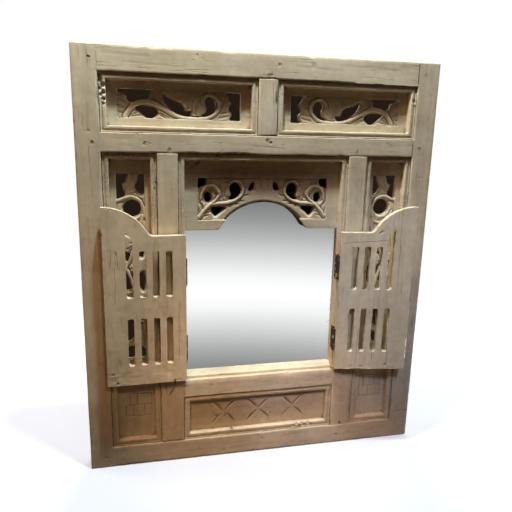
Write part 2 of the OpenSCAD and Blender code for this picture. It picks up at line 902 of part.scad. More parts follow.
module bead_inner(b) {
    translate([b[0], 0, b[2]]) mirror([1, 0, 0]) rotate([0, -90, 0]) bead_strip(b[3] - b[2]);
}

module bay_beads(b) {
    bead_bottom(b);
    bead_top(b);
    bead_outer(b);
    bead_inner(b);
}

module top_bay_beads_left() {
    color(wood) mirror([1, 0, 0]) bay_beads(top_bay);
}

module top_bay_beads_right() {
    color(wood) bay_beads(top_bay);
}

module side_bay_beads_left() {
    color(wood) mirror([1, 0, 0]) bay_beads(side_bay);
}

module side_bay_beads_right() {
    color(wood) bay_beads(side_bay);
}

module bottom_bay_beads() {
    color(wood) bay_beads(bottom_bay);
}

// The mirror bay has no bead on the sill, so its jamb beads stand square on the sill step
mirror_bay = [-jamb_x - bead_w, jamb_x + bead_w, sill_edge_z, transom_z0];

module arch_top_bead() {
    color(wood) bead_top(mirror_bay);
}

module jamb_bead() {
    difference() {
        bead_outer(mirror_bay, 0);
        block([0, upright_in], [front_y + sill_step_d, 0], [sill_edge_z - bite, sill_z1]);
        leaf_screw_holes();
    }
}

module jamb_bead_left() {
    color(wood) mirror([1, 0, 0]) jamb_bead();
}

module jamb_bead_right() {
    color(wood) jamb_bead();
}

// ---------- mirror ----------

module mirror_glass() {
    lap = glass_lap - glass_spare;
    color(mirror_tint) block([-upright_in - lap, upright_in + lap], [glass_y, -backboard_t],
        [sill_z1 - lap, transom_z0 + lap]);
}

module backboard() {
    lap = backboard_lap - glass_spare;
    color(wood_shade) difference() {
        block([-upright_in - lap, upright_in + lap], [-backboard_t, 0], [sill_z1 - lap, transom_z0 + lap]);
        backboard_screw_holes();
    }
}

// A countersunk screw driven forwards from the back face
module back_screw(gap = 0) {
    cone_h = (back_screw_head - back_screw_d) / 2; // a 90 degree countersink
    rotate([90, 0, 0]) {
        cylinder(d1 = back_screw_head + 2 * gap, d2 = back_screw_d + 2 * gap, h = cone_h);
        cylinder(d = back_screw_d + 2 * gap, h = back_screw_l + gap);
    }
}

module at_backboard_screws() {
    edge = (glass_lap + backboard_lap) / 2;
    mid_z = (sill_z1 + transom_z0) / 2;
    reach = (transom_z0 - sill_z1) / 3;
    for (s = [-1, 1], k = [-1, 0, 1])
        translate([s * (upright_in + edge), 0, mid_z + k * reach]) children();
    for (z = [sill_z1 - edge, transom_z0 + edge], s = [-1, 1])
        translate([s * upright_in / 2, 0, z]) children();
}

module backboard_screw_holes() {
    at_backboard_screws() back_screw(screw_gap);
}

module backboard_screws() {
    color(steel) at_backboard_screws() back_screw();
}

// ---------- hanging plates ----------

module plate_recess() {
    block([plate_x - plate_w / 2 - joint_gap, plate_x + plate_w / 2 + joint_gap], [-plate_t, bite],
        [hang_z - plate_h / 2 - joint_gap, hang_z + plate_h / 2 + joint_gap]);
    rod_y(plate_x, hang_z, hang_pocket_w, -plate_t - hang_pocket_d, bite);
    at_plate_screws() back_screw(screw_gap);
}

module at_plate_screws() {
    for (s = [-1, 1])
        translate([plate_x, 0, hang_z + s * plate_screw_pitch / 2]) children();
}

module hanging_plate() {
    difference() {
        block([plate_x - plate_w / 2, plate_x + plate_w / 2], [-plate_t, 0],
            [hang_z - plate_h / 2, hang_z + plate_h / 2]);
        rod_y(plate_x, hang_z, hang_hole_d, -plate_t - bite, bite);
        at_plate_screws() back_screw(screw_gap);
    }
}

module hanging_plate_left() {
    color(steel) mirror([1, 0, 0]) hanging_plate();
}

module hanging_plate_right() {
    color(steel) hanging_plate();
}

module hanging_plate_screws() {
    color(steel) both_sides() at_plate_screws() back_screw();
}

// ---------- shutters ----------

// Everything on a shutter is drawn closed, on the right, and then swung open about its pin
module swing_right() {
    translate([pin_x, pin_y, 0]) rotate([0, 0, right_open]) translate([-pin_x, -pin_y, 0]) children();
}

module swing_left() {
    mirror([1, 0, 0]) translate([pin_x, pin_y, 0]) rotate([0, 0, left_open])
        translate([-pin_x, -pin_y, 0]) children();
}

module shutter_outline() {
    free_x = shutter_meet / 2;
    translate([free_x, shutter_z0]) square([board_x - free_x, shutter_flat_z - shutter_z0]);
    intersection() {
        arch_shape(shutter_r, shutter_flat_z, shutter_hollow_r);
        translate([free_x, shutter_z0]) square([board_x - free_x, frame_h]);
    }
}

module slot(i, w, z0, h) {
    x = board_x - slot_first - i * slot_pitch;
    round_rect([x - w / 2, x + w / 2], [z0, z0 + h], slot_r);
}

module shutter_slots() {
    for (i = [0:slot_n - 1])
        slot(i, slot_w_lower, lower_slot_z, lower_slot_h);
    for (i = [0:slot_n - 2])
        slot(i, slot_w_upper, upper_slot_z, upper_slot_h);
    intersection() {
        slot(slot_n - 1, slot_w_upper, upper_slot_z, 2 * upper_slot_h);
        union() {
            translate([0, arch_cz]) circle(shutter_r - tall_slot_margin, $fn = arch_fn);
            translate([0, shutter_z0]) square([board_x, upper_slot_z + upper_slot_h - slot_r - shutter_z0]);
        }
    }
}

module shutter_board() {
    difference() {
        plate(front_y + shutter_t, shutter_t) difference() {
            shutter_outline();
            shutter_slots();
        }
        board_screw_holes();
    }
}

module shutter_left() {
    color(wood) swing_left() shutter_board();
}

module shutter_right() {
    color(wood) swing_right() shutter_board();
}

// ---------- hinges ----------

knuckle_l = (hinge_h - (knuckle_n - 1) * knuckle_gap) / knuckle_n;

// Knuckles of one leaf, from the number first, every second one
module knuckles(z, first) {
    for (i = [first:2:knuckle_n - 1])
        translate([pin_x, pin_y, z - hinge_h / 2 + i * (knuckle_l + knuckle_gap)])
            cylinder(d = knuckle_d, h = knuckle_l);
}

// Neck that ties a leaf to its knuckles; x is the leaf's place in X
module necks(x, z, first) {
    for (i = [first:2:knuckle_n - 1]) {
        z0 = z - hinge_h / 2 + i * (knuckle_l + knuckle_gap);
        block(x, [pin_y + pin_d / 2 + 2 * pin_gap, front_y + leaf_gap], [z0, z0 + knuckle_l]);
    }
}

module leaf(x, z, first) {
    difference() {
        union() {
            knuckles(z, first);
            necks(x, z, first);
            block(x, [front_y + leaf_gap / 2, front_y + leaf_w], [z - hinge_h / 2, z + hinge_h / 2]);
        }
        translate([pin_x, pin_y, z - hinge_h]) cylinder(d = pin_d + 2 * pin_gap, h = 2 * hinge_h);
    }
}

// Screw places in a leaf as [y, z from the middle of the hinge]
screw_places = [for (k = [-1, 0, 1])
    [front_y + leaf_screw_in + (k == 0 ? leaf_screw_stagger : 0), k * (hinge_h / 2 - leaf_screw_end)]];

// A countersunk screw that starts at the face x and runs towards +X
module leaf_screw(x, y, z, gap = 0) {
    translate([x, y, z]) rotate([0, 90, 0]) {
        cylinder(d1 = leaf_screw_head + 2 * gap, d2 = leaf_screw_d + 2 * gap, h = leaf_t);
        cylinder(d = leaf_screw_d + 2 * gap, h = leaf_screw_l + gap);
    }
}

module frame_screws(hinges, gap = 0) {
    for (z = hinges, p = screw_places)
        leaf_screw(jamb_x - leaf_t, p[0], z + p[1], gap);
}

// Screws in the shutter run the other way, into the edge of the board
module board_screws(hinges, gap = 0) {
    for (z = hinges, p = screw_places)
        translate([2 * pin_x, 0, 0]) mirror([1, 0, 0])
            leaf_screw(jamb_x - leaf_t, p[0], z + p[1], gap);
}

module leaf_screw_holes() {
    frame_screws([lower_hinge, upper_hinge], screw_gap);
}

module board_screw_holes() {
    board_screws([lower_hinge, upper_hinge], screw_gap);
}

module frame_leaf(z) {
    difference() {
        leaf([jamb_x - leaf_t, jamb_x], z, 0);
        frame_screws([z], screw_gap);
    }
}

module shutter_leaf(z) {
    difference() {
        leaf([board_x, board_x + leaf_t], z, 1);
        board_screws([z], screw_gap);
    }
}

module hinge_pin(z) {
    translate([pin_x, pin_y, z - hinge_h / 2]) {
        cylinder(d = pin_d, h = hinge_h);
        for (h = [-pin_head_h, hinge_h])
            translate([0, 0, h]) cylinder(d = knuckle_d - 2 * pin_gap, h = pin_head_h);
    }
}

module frame_leaf_upper_left() {
    color(iron) mirror([1, 0, 0]) frame_leaf(upper_hinge);
}

module frame_leaf_lower_left() {
    color(iron) mirror([1, 0, 0]) frame_leaf(lower_hinge);
}

module frame_leaf_upper_right() {
    color(iron) frame_leaf(upper_hinge);
}

module frame_leaf_lower_right() {
    color(iron) frame_leaf(lower_hinge);
}

module shutter_leaf_upper_left() {
    color(iron) swing_left() shutter_leaf(upper_hinge);
}

module shutter_leaf_lower_left() {
    color(iron) swing_left() shutter_leaf(lower_hinge);
}

module shutter_leaf_upper_right() {
    color(iron) swing_right() shutter_leaf(upper_hinge);
}

module shutter_leaf_lower_right() {
    color(iron) swing_right() shutter_leaf(lower_hinge);
}

module hinge_pin_upper_left() {
    color(iron) mirror([1, 0, 0]) hinge_pin(upper_hinge);
}

module hinge_pin_lower_left() {
    color(iron) mirror([1, 0, 0]) hinge_pin(lower_hinge);
}

module hinge_pin_upper_right() {
    color(iron) hinge_pin(upper_hinge);
}

module hinge_pin_lower_right() {
    color(iron) hinge_pin(lower_hinge);
}

module frame_leaf_screws_left() {
    color(steel) mirror([1, 0, 0]) frame_screws([lower_hinge, upper_hinge]);
}

module frame_leaf_screws_right() {
    color(steel) frame_screws([lower_hinge, upper_hinge]);
}

module shutter_leaf_screws_left() {
    color(steel) swing_left() board_screws([lower_hinge, upper_hinge]);
}

module shutter_leaf_screws_right() {
    color(steel) swing_right() board_screws([lower_hinge, upper_hinge]);
}

stile_left();
stile_right();
top_rail();
transom_rail();
sill_rail();
bottom_rail();
mullion();
upright_left();
upright_right();
joint_pegs();
top_panel_left();
top_panel_right();
side_panel_left();
side_panel_right();
arch_panel();
bottom_panel();
top_bay_beads_left();
top_bay_beads_right();
side_bay_beads_left();
side_bay_beads_right();
bottom_bay_beads();
arch_top_bead();
jamb_bead_left();
jamb_bead_right();
mirror_glass();
backboard();
backboard_screws();
hanging_plate_left();
hanging_plate_right();
hanging_plate_screws();
shutter_left();
shutter_right();
frame_leaf_upper_left();
frame_leaf_lower_left();
frame_leaf_upper_right();
frame_leaf_lower_right();
shutter_leaf_upper_left();
shutter_leaf_lower_left();
shutter_leaf_upper_right();
shutter_leaf_lower_right();
hinge_pin_upper_left();
hinge_pin_lower_left();
hinge_pin_upper_right();
hinge_pin_lower_right();
frame_leaf_screws_left();
frame_leaf_screws_right();
shutter_leaf_screws_left();
shutter_leaf_screws_right();
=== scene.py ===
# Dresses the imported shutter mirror: worn cream paint over carved wood, rusty hinges, a clear mirror
import math
import random
import bmesh
import bpy
from mathutils import Matrix, Vector, kdtree, noise


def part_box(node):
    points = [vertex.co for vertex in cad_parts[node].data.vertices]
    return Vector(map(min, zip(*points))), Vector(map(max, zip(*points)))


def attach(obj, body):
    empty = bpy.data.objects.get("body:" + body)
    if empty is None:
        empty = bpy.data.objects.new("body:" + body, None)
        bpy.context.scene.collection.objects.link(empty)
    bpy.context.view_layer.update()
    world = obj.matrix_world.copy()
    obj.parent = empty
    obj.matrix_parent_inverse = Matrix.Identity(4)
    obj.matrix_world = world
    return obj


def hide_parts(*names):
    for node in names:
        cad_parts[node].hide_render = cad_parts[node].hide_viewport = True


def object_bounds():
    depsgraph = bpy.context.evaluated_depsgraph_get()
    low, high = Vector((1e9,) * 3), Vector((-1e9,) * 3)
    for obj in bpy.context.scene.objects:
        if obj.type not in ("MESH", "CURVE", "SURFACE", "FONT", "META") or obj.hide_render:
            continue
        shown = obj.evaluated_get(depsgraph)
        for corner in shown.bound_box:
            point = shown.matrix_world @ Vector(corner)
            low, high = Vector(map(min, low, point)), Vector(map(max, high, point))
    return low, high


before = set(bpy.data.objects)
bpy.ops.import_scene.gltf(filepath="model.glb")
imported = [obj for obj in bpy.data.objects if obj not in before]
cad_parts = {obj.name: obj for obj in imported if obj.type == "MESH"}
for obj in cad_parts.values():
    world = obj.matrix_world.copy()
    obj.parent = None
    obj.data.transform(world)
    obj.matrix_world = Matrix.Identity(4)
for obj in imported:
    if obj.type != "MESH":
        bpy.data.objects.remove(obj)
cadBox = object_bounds()
noise.seed_set(7)     # so that the wear is the same in every run
scene = bpy.context.scene
mm = 0.001
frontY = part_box("stile_left")[0].y      # front of the frame members
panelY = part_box("bottom_panel")[0].y    # face of the panel boards
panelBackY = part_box("bottom_panel")[1].y
axes = {"x": Vector((1, 0, 0)), "z": Vector((0, 0, 1))}
hingeX = 0.178                          # the hinge pins stand this far from the middle
print("frame loaded")


# from here on shader nodes are made
def feed(tree, node, values):
    for name, value in values.items():
        if isinstance(value, bpy.types.NodeSocket):
            tree.links.new(value, node.inputs[name])
        else:
            node.inputs[name].default_value = value
    return node


def add(tree, kind, inputs=None, **settings):
    node = tree.nodes.new("ShaderNode" + kind)
    for name, value in settings.items():
        setattr(node, name, value)
    return feed(tree, node, inputs or {})


def calc(tree, operation, a, b=0.0, clamp=False):
    return add(tree, "Math", {0: a, 1: b}, operation=operation, use_clamp=clamp).outputs[0]


def times(tree, a, b):
    return calc(tree, "MULTIPLY", a, b)


def plus(tree, a, b, clamp=False):
    return calc(tree, "ADD", a, b, clamp)


def lengthOf(tree, a, b):
    return calc(tree, "SQRT", plus(tree, times(tree, a, a), times(tree, b, b)))


def scaled(tree, vector, by):
    return add(tree, "VectorMath", {0: vector, 1: by}, operation="MULTIPLY").outputs[0]


def objectPoint(tree):
    return add(tree, "TexCoord").outputs["Object"]


def attribute(tree, name):
    return add(tree, "Attribute", attribute_name=name).outputs["Fac"]


def tint(tree, factor, a, b, kind="MIX"):
    return add(tree, "Mix", {0: factor, 6: a, 7: b}, data_type="RGBA", blend_type=kind).outputs[2]


def shaded(tree, colour, by):
    grey = add(tree, "CombineColor", {0: by, 1: by, 2: by}).outputs[0]
    return tint(tree, 1.0, colour, grey, "MULTIPLY")


def ramp(tree, value, low, high, toLow=0.0, toHigh=1.0):
    return add(tree, "MapRange", {"Value": value, "From Min": low, "From Max": high, "To Min": toLow,
                                  "To Max": toHigh}, interpolation_type="SMOOTHSTEP").outputs[0]


def cloud(tree, vector, scale, detail=4.0, rough=0.55):
    return add(tree, "TexNoise", {"Vector": vector, "Scale": scale, "Detail": detail,
                                  "Roughness": rough}).outputs["Fac"]


def splitUp(tree, vector):
    return add(tree, "SeparateXYZ", {0: vector}).outputs


def newGroup(name, inputs, outputs):
    tree = bpy.data.node_groups.new(name, "ShaderNodeTree")
    for label, value in inputs.items():
        kind = "Float" if isinstance(value, float) else "Vector" if len(value) == 3 else "Color"
        socket = tree.interface.new_socket(name=label, in_out="INPUT", socket_type="NodeSocket" + kind)
        socket.default_value = value
    for label, kind in outputs.items():
        tree.interface.new_socket(name=label, in_out="OUTPUT", socket_type="NodeSocket" + kind)
    return tree, tree.nodes.new("NodeGroupInput").outputs, tree.nodes.new("NodeGroupOutput")


def place(tree, group, inputs):
    node = tree.nodes.new("ShaderNodeGroup")
    node.node_tree = group
    return feed(tree, node, inputs).outputs


def newMaterial(name, values):
    material = bpy.data.materials.new(name)
    material.use_nodes = True
    tree = material.node_tree
    return material, tree, feed(tree, tree.nodes["Principled BSDF"], values)


def emboss(tree, shader, height, depth):
    bump = add(tree, "Bump", {"Height": height, "Distance": depth, "Strength": 1.0})
    feed(tree, shader, {"Normal": bump.outputs[0]})


def finish(tree, shader, outputs, depth):
    # colour, roughness and relief of a group, given to the shader
    feed(tree, shader, {"Base Color": outputs["Colour"], "Roughness": outputs["Roughness"]})
    emboss(tree, shader, outputs["Height"], depth)


def srgb(r, g, b):
    return tuple(((c / 255 + 0.055) / 1.055) ** 2.4 for c in (r, g, b)) + (1.0,)


paintLook = {
    "Paint": srgb(224, 208, 178), "Shade": srgb(202, 182, 148), "Grime And Shade": srgb(62, 40, 22),
    "Timber": srgb(150, 108, 68), "Timber Dark": srgb(88, 56, 32), "Mottle": 0.6}
grainLook = {"long": 5.0, "cross": 62.0, "relief": 0.0007}      # how the grain is stretched, per metre
rustLook = {"Metal": srgb(58, 46, 38), "Rust": srgb(48, 34, 24), "Fresh Rust": srgb(72, 50, 36),
            "Paint": srgb(190, 166, 132)}
zincLook = {"Metal": srgb(176, 178, 176), "Rust": srgb(120, 104, 90)}
surfaceOutputs = {"Colour": "Color", "Roughness": "Float", "Height": "Float"}


# effects that several finishes share
def makeGrain():
    # streaks along the wood, and hairline cracks where an uneven patch lets them open
    tree, given, out = newGroup("woodGrain", {"Stretch": (60.0, 60.0, 6.0)},
                                {"Streaks": "Float", "Lines": "Float", "Cracks": "Float"})
    spot = objectPoint(tree)
    wavy = scaled(tree, spot, given["Stretch"])
    streaks = cloud(tree, wavy, 1.0, 6.0, 0.62)
    fine = cloud(tree, wavy, 4.2, 5.0, 0.6)
    lines = times(tree, ramp(tree, fine, 0.57, 0.66), ramp(tree, cloud(tree, spot, 16.0, 2.0), 0.42, 0.62))
    cells = add(tree, "TexVoronoi", {"Vector": wavy, "Scale": 0.62},
                feature="DISTANCE_TO_EDGE").outputs["Distance"]
    thin = ramp(tree, cells, 0.0, 0.018, 1.0, 0.0)
    where = ramp(tree, cloud(tree, spot, 13.0, 3.0), 0.57, 0.70)
    feed(tree, out, {"Streaks": streaks, "Lines": lines, "Cracks": times(tree, thin, where)})
    return tree


def makeCreviceShade():
    # painted shade: corners and narrow gaps darkened by how closed in they are, with an uneven rim
    tree, given, out = newGroup("paintedCreviceShade", {"Reach": 0.012}, {"Mask": "Float"})
    openness = add(tree, "AmbientOcclusion", {"Distance": given["Reach"]}, samples=8).outputs["AO"]
    uneven = ramp(tree, cloud(tree, objectPoint(tree), 90.0, 4.0), 0.3, 0.7, -0.12, 0.12)
    feed(tree, out, {"Mask": ramp(tree, plus(tree, openness, uneven), 0.62, 0.14)})
    return tree


def makeBareWood():
    # unpainted timber with its growth rings, for the back and for chips
    tree, given, out = newGroup("bareTimber", {"Light": (0.3, 0.18, 0.09, 1.0), "Dark": (0.12, 0.06, 0.03, 1.0),
                                               "Stretch": (60.0, 60.0, 6.0)}, {"Colour": "Color", "Height": "Float"})
    spot = objectPoint(tree)
    wavy = scaled(tree, spot, given["Stretch"])
    slow = cloud(tree, wavy, 0.35, 3.0, 0.5)
    rings = calc(tree, "SINE", times(tree, slow, 46.0))
    fibres = cloud(tree, wavy, 5.0, 6.0, 0.7)
    tone = plus(tree, times(tree, rings, 0.18), times(tree, fibres, 0.9), True)
    colour = tint(tree, tone, given["Dark"], given["Light"])
    stains = ramp(tree, cloud(tree, spot, 7.0, 4.0), 0.45, 0.75, 1.0, 0.62)
    feed(tree, out, {"Colour": shaded(tree, colour, stains), "Height": tone})
    return tree


def makeScore():
    # a thin, slightly wandering line between two points of the front
    tree, given, out = newGroup("scoreLine", {"From": (0.0, 0.0, 0.0), "To": (0.0, 0.0, 0.0), "Width": 0.001},
                                {"Mask": "Float"})

    def vector(operation, a, b, socket=0):
        return add(tree, "VectorMath", {0: a, 1: b}, operation=operation).outputs[socket]

    spot = objectPoint(tree)
    shake = vector("SUBTRACT", add(tree, "TexNoise", {"Vector": spot, "Scale": 55.0, "Detail": 3.0}).outputs["Color"],
                   (0.5, 0.5, 0.5))
    spot = vector("ADD", spot, vector("MULTIPLY", shake, (0.004, 0.004, 0.004)))
    along, here = vector("SUBTRACT", given["To"], given["From"]), vector("SUBTRACT", spot, given["From"])
    along, here = (vector("MULTIPLY", v, (1.0, 0.0, 1.0)) for v in (along, here))
    share = calc(tree, "DIVIDE", vector("DOT_PRODUCT", here, along, 1),
                 vector("DOT_PRODUCT", along, along, 1), True)
    reached = add(tree, "VectorMath", {0: along, "Scale": share}, operation="SCALE").outputs[0]
    away = calc(tree, "DIVIDE", vector("DISTANCE", here, reached, 1), given["Width"])
    feed(tree, out, {"Mask": ramp(tree, away, 0.4, 1.0, 1.0, 0.0)})
    return tree


grain, creviceShadeGroup, bareTimber, scoreLine = makeGrain(), makeCreviceShade(), makeBareWood(), makeScore()


def makePaint():
    # old brushed paint: uneven tone, grain showing through, worn arrises, painted shade in corners, a bare back
    tree, given, out = newGroup("agedPaint", {
        **paintLook, "Stretch": (60.0, 60.0, 6.0), "Wear": 0.5, "Crevice Shade": 0.6, "Crackle": 0.0, "Bare From": 0.0,
        "Scores": 0.0}, surfaceOutputs)
    spot = objectPoint(tree)
    wood = place(tree, grain, {"Stretch": given["Stretch"]})
    timber = place(tree, bareTimber, {"Light": given["Timber"], "Dark": given["Timber Dark"],
                                      "Stretch": given["Stretch"]})
    # painted shade in corners and narrow gaps, laid on below in the dark grime colour
    creviceShade = place(tree, creviceShadeGroup, {})["Mask"]
    arris, bare, grimeAndShadeMarks = (attribute(tree, name) for name in ("arris", "bare", "grimeAndShade"))    # from the meshes
    patches = ramp(tree, cloud(tree, spot, 8.0, 4.0), 0.36, 0.66)
    mottle = cloud(tree, spot, 60.0, 6.0, 0.65)
    colour = tint(tree, times(tree, patches, given["Mottle"]), given["Paint"], given["Shade"])
    colour = shaded(tree, colour, plus(tree, ramp(tree, wood["Streaks"], 0.3, 0.7, -0.08, 0.06),
                                       ramp(tree, mottle, 0.3, 0.7, 0.93, 1.05)))
    # rope-like crackle across a moulding, on the upper part of the frame
    across = scaled(tree, spot, (90.0, 90.0, 150.0))
    cells = add(tree, "TexVoronoi", {"Vector": across, "Scale": 1.7}, feature="DISTANCE_TO_EDGE").outputs[0]
    crackle = times(tree, times(tree, ramp(tree, cells, 0.02, 0.22, 1.0, 0.0),
                                ramp(tree, cloud(tree, spot, 14.0, 2.0), 0.42, 0.54)), given["Crackle"])
    crackle = times(tree, crackle, ramp(tree, splitUp(tree, spot)["Z"], 0.04, 0.14))
    lines = calc(tree, "MAXIMUM", times(tree, wood["Lines"], 0.30), wood["Cracks"])
    # marks from the meshes: grime in dents and chips, painted shade in deep carving, incised bricks and under petal
    # rims
    for mask in (crackle, given["Scores"], times(tree, grimeAndShadeMarks, ramp(tree, mottle, 0.3, 0.7, 0.7, 1.0))):
        lines = calc(tree, "MAXIMUM", lines, mask)
    # lines and marks take the grime colour; corners take it as painted shade
    for mask, strength in ((lines, 0.85), (creviceShade, given["Crevice Shade"])):
        colour = tint(tree, times(tree, mask, strength), colour, given["Grime And Shade"])
    # worn arrises and chips
    point = add(tree, "NewGeometry").outputs["Pointiness"]
    rubbed = plus(tree, ramp(tree, arris, 0.45, 1.0, 0.0, 0.5), ramp(tree, point, 0.53, 0.62, 0.0, 0.35))
    rubbed = times(tree, rubbed, ramp(tree, cloud(tree, spot, 42.0, 5.0, 0.7), 0.5, 0.62))
    chipped = ramp(tree, plus(tree, bare, times(tree, mottle, 0.4)), 0.62, 0.8)
    worn = plus(tree, times(tree, rubbed, given["Wear"]), chipped, True)
    # the back of the work was never painted
    ragged = plus(tree, splitUp(tree, spot)["Y"], ramp(tree, mottle, 0.2, 0.8, -0.003, 0.003))
    worn = calc(tree, "MAXIMUM", worn, ramp(tree, calc(tree, "SUBTRACT", ragged, given["Bare From"]), 0.0, 0.004))
    rough = plus(tree, ramp(tree, mottle, 0.3, 0.7, 0.50, 0.66), times(tree, worn, 0.2), True)
    height = plus(tree, times(tree, wood["Streaks"], 0.35), times(tree, mottle, 0.25))
    for mask, depth in ((lines, 0.9), (worn, 0.4)):
        height = calc(tree, "SUBTRACT", height, times(tree, mask, depth))
    feed(tree, out, {"Colour": tint(tree, worn, colour, timber["Colour"]), "Roughness": rough, "Height": height})
    return tree


agedPaint = makePaint()


def makeRust():
    # dark iron with brown rust and a little old paint left on it
    tree, given, out = newGroup("rustyIron", {**rustLook, "Amount": 0.5, "Paint Left": 0.2},
                                {**surfaceOutputs, "Metal": "Float"})
    spot = objectPoint(tree)
    coarse, fine = cloud(tree, spot, 150.0, 5.0, 0.6), cloud(tree, spot, 620.0, 4.0, 0.7)
    rust = ramp(tree, plus(tree, coarse, times(tree, given["Amount"], 0.4)), 0.55, 0.75)
    colour = tint(tree, rust, given["Metal"], tint(tree, fine, given["Rust"], given["Fresh Rust"]))
    flakes = plus(tree, cloud(tree, spot, 95.0, 5.0, 0.65), times(tree, given["Paint Left"], 0.4))
    paint = ramp(tree, flakes, 0.66, 0.70)
    feed(tree, out, {
        "Colour": tint(tree, paint, colour, given["Paint"]),
        "Roughness": plus(tree, times(tree, rust, 0.35), ramp(tree, fine, 0.2, 0.8, 0.38, 0.5), True),
        "Height": plus(tree, times(tree, rust, coarse), plus(tree, fine, paint)),
        "Metal": times(tree, calc(tree, "SUBTRACT", 1.0, rust), calc(tree, "SUBTRACT", 1.0, paint))})
    return tree


rustyIron = makeRust()
print("shared effects made")


def paintFinish(name, along, wear=0.5, creviceShade=0.6, crackle=0.0, bareFrom=-0.011, scores=()):
    # creviceShade sets how strong the painted shade in corners is
    material, tree, shader = newMaterial(name, {"Specular IOR Level": 0.08})
    scored = 0.0
    for x0, z0, x1, z1, width, depth in scores:      # millimetres
        mask = place(tree, scoreLine, {"From": (x0 * mm, 0.0, z0 * mm), "To": (x1 * mm, 0.0, z1 * mm),
                                       "Width": width * mm})["Mask"]
        scored = calc(tree, "MAXIMUM", scored, times(tree, mask, depth))
    stretch = [grainLook["cross"]] * 3
    stretch["xyz".index(along)] = grainLook["long"]
    paint = place(tree, agedPaint, {**paintLook, "Stretch": stretch, "Wear": wear, "Crevice Shade": creviceShade,
                                    "Crackle": crackle, "Bare From": bareFrom, "Scores": scored})
    finish(tree, shader, paint, grainLook["relief"])
    return material


scoreMarks = {   # joints and cracks that the photograph shows: from x, z, to x, z, width and strength
    "upright": [(367, -393, 400, -396, 1.1, 0.9), (-352, 364, -351, 385, 1.2, 0.7), (-372, 352, -374, 300, 4, 0.16),
                (213, 232, 190, 231, 1, 0.4), (-381, 120, -380, 70, 4, 0.16)],
    "across": [(-276, 312, -275, 297, 1.2, 0.7), (-262, 281, -250, 278, 1.6, 0.7), (-30, 276, 40, 272, 2.6, 0.22),
               (-110, 300, -60, 297, 3, 0.16), (60, 446, 150, 440, 4, 0.14), (-340, 452, -250, 449, 4, 0.16),
               (-300, 436, -180, 431, 3, 0.14), (160, 452, 290, 447, 4, 0.14),
               (-90, -440, -40, -436, 1.5, 0.35), (60, -431, 110, -428, 1.4, 0.35)],
    "shutter": [(183, 62, 305, 70, 0.9, 0.75), (262, -115, 268, -226, 0.9, 0.7), (230, -150, 229, -238, 0.8, 0.6),
                (300, -100, 304, -235, 0.8, 0.5), (312, 150, 316, -40, 0.8, 0.45), (-196, -60, -196, -200, 0.8, 0.45),
                (-330, 20, -331, -60, 1, 0.4), (-232, -95, -198, -97, 0.9, 0.3)]}

memberUpright = paintFinish("paintedUpright", "z", scores=scoreMarks["upright"])
memberAcross = paintFinish("paintedAcross", "x", scores=scoreMarks["across"])
panelUpright = paintFinish("paintedPanelUpright", "z", wear=0.7, creviceShade=0.8, bareFrom=-0.029)
panelAcross = paintFinish("paintedPanelAcross", "x", wear=0.7, creviceShade=0.8, bareFrom=-0.029)
beadUpright = paintFinish("paintedBeadUpright", "z", wear=0.7, creviceShade=0.9, crackle=0.42, bareFrom=0.0)
beadAcross = paintFinish("paintedBeadAcross", "x", wear=0.7, creviceShade=0.9, bareFrom=0.0)
shutterPaint = paintFinish("paintedShutter", "z", wear=0.8, creviceShade=0.5, bareFrom=0.0, scores=scoreMarks["shutter"])


def ironFinish(name, amount, paintLeft, depth, look=rustLook):
    material, tree, shader = newMaterial(name, {"Specular IOR Level": 0.4})
    iron = place(tree, rustyIron, {**rustLook, **look, "Amount": amount, "Paint Left": paintLeft})
    finish(tree, shader, iron, depth)
    feed(tree, shader, {"Metallic": iron["Metal"]})
    return material


hingeIron = ironFinish("hingeIron", 0.75, 0.26, 0.0003)
screwIron = ironFinish("screwIron", 0.45, 0.05, 0.0002)
zincSteel = ironFinish("zincSteel", 0.05, 0.0, 0.0002, zincLook)

mirrorLook = {   # outline of the sight of the glass, and the colours of silver, of specks, and of the dark unsilvered glass that paints shade into the fretwork's holes
    "halfWidth": 0.1845, "low": -0.255, "edge": 0.012, "shoulder": 0.102, "archCentre": 0.0366, "archRadius": 0.1274,
    "silver": (0.93, 0.94, 0.94, 1.0), "speck": (0.12, 0.09, 0.06, 1.0), "plain": (0.014, 0.010, 0.007, 1.0)}


def makeMirror():
    # silvered glass: clear in the middle, a little haze and foxing near its edges
    look = mirrorLook
    material, tree, shader = newMaterial("silveredGlass", {"Coat Roughness": 0.02, "Specular IOR Level": 0.1})
    spot = objectPoint(tree)
    parts = splitUp(tree, spot)
    side = calc(tree, "SUBTRACT", look["halfWidth"], calc(tree, "ABSOLUTE", parts["X"]))
    foot = calc(tree, "SUBTRACT", parts["Z"], look["low"])
    near = ramp(tree, calc(tree, "MINIMUM", side, foot), 0.0, look["edge"], 1.0, 0.0)
    foxing = times(tree, near, ramp(tree, cloud(tree, spot, 240.0, 5.0, 0.7), 0.60, 0.68))
    haze = ramp(tree, cloud(tree, spot, 30.0, 4.0), 0.4, 0.8, 0.004, 0.03)
    # behind the fretwork of the arched head the glass is left dark and unsilvered: painted shade seen through the
    # holes
    reach = lengthOf(tree, parts["X"], calc(tree, "SUBTRACT", parts["Z"], look["archCentre"]))
    plain = times(tree, calc(tree, "GREATER_THAN", reach, look["archRadius"]),
                  calc(tree, "GREATER_THAN", parts["Z"], look["shoulder"]))
    silvered = calc(tree, "SUBTRACT", 1.0, plain)
    dull = plus(tree, haze, times(tree, foxing, 0.5))
    feed(tree, shader, {
        "Base Color": tint(tree, plain, tint(tree, foxing, look["silver"], look["speck"]), look["plain"]),
        "Roughness": plus(tree, dull, times(tree, plain, 0.6), True),
        "Metallic": silvered, "Coat Weight": times(tree, silvered, 0.3)})
    return material


silveredGlass = makeMirror()


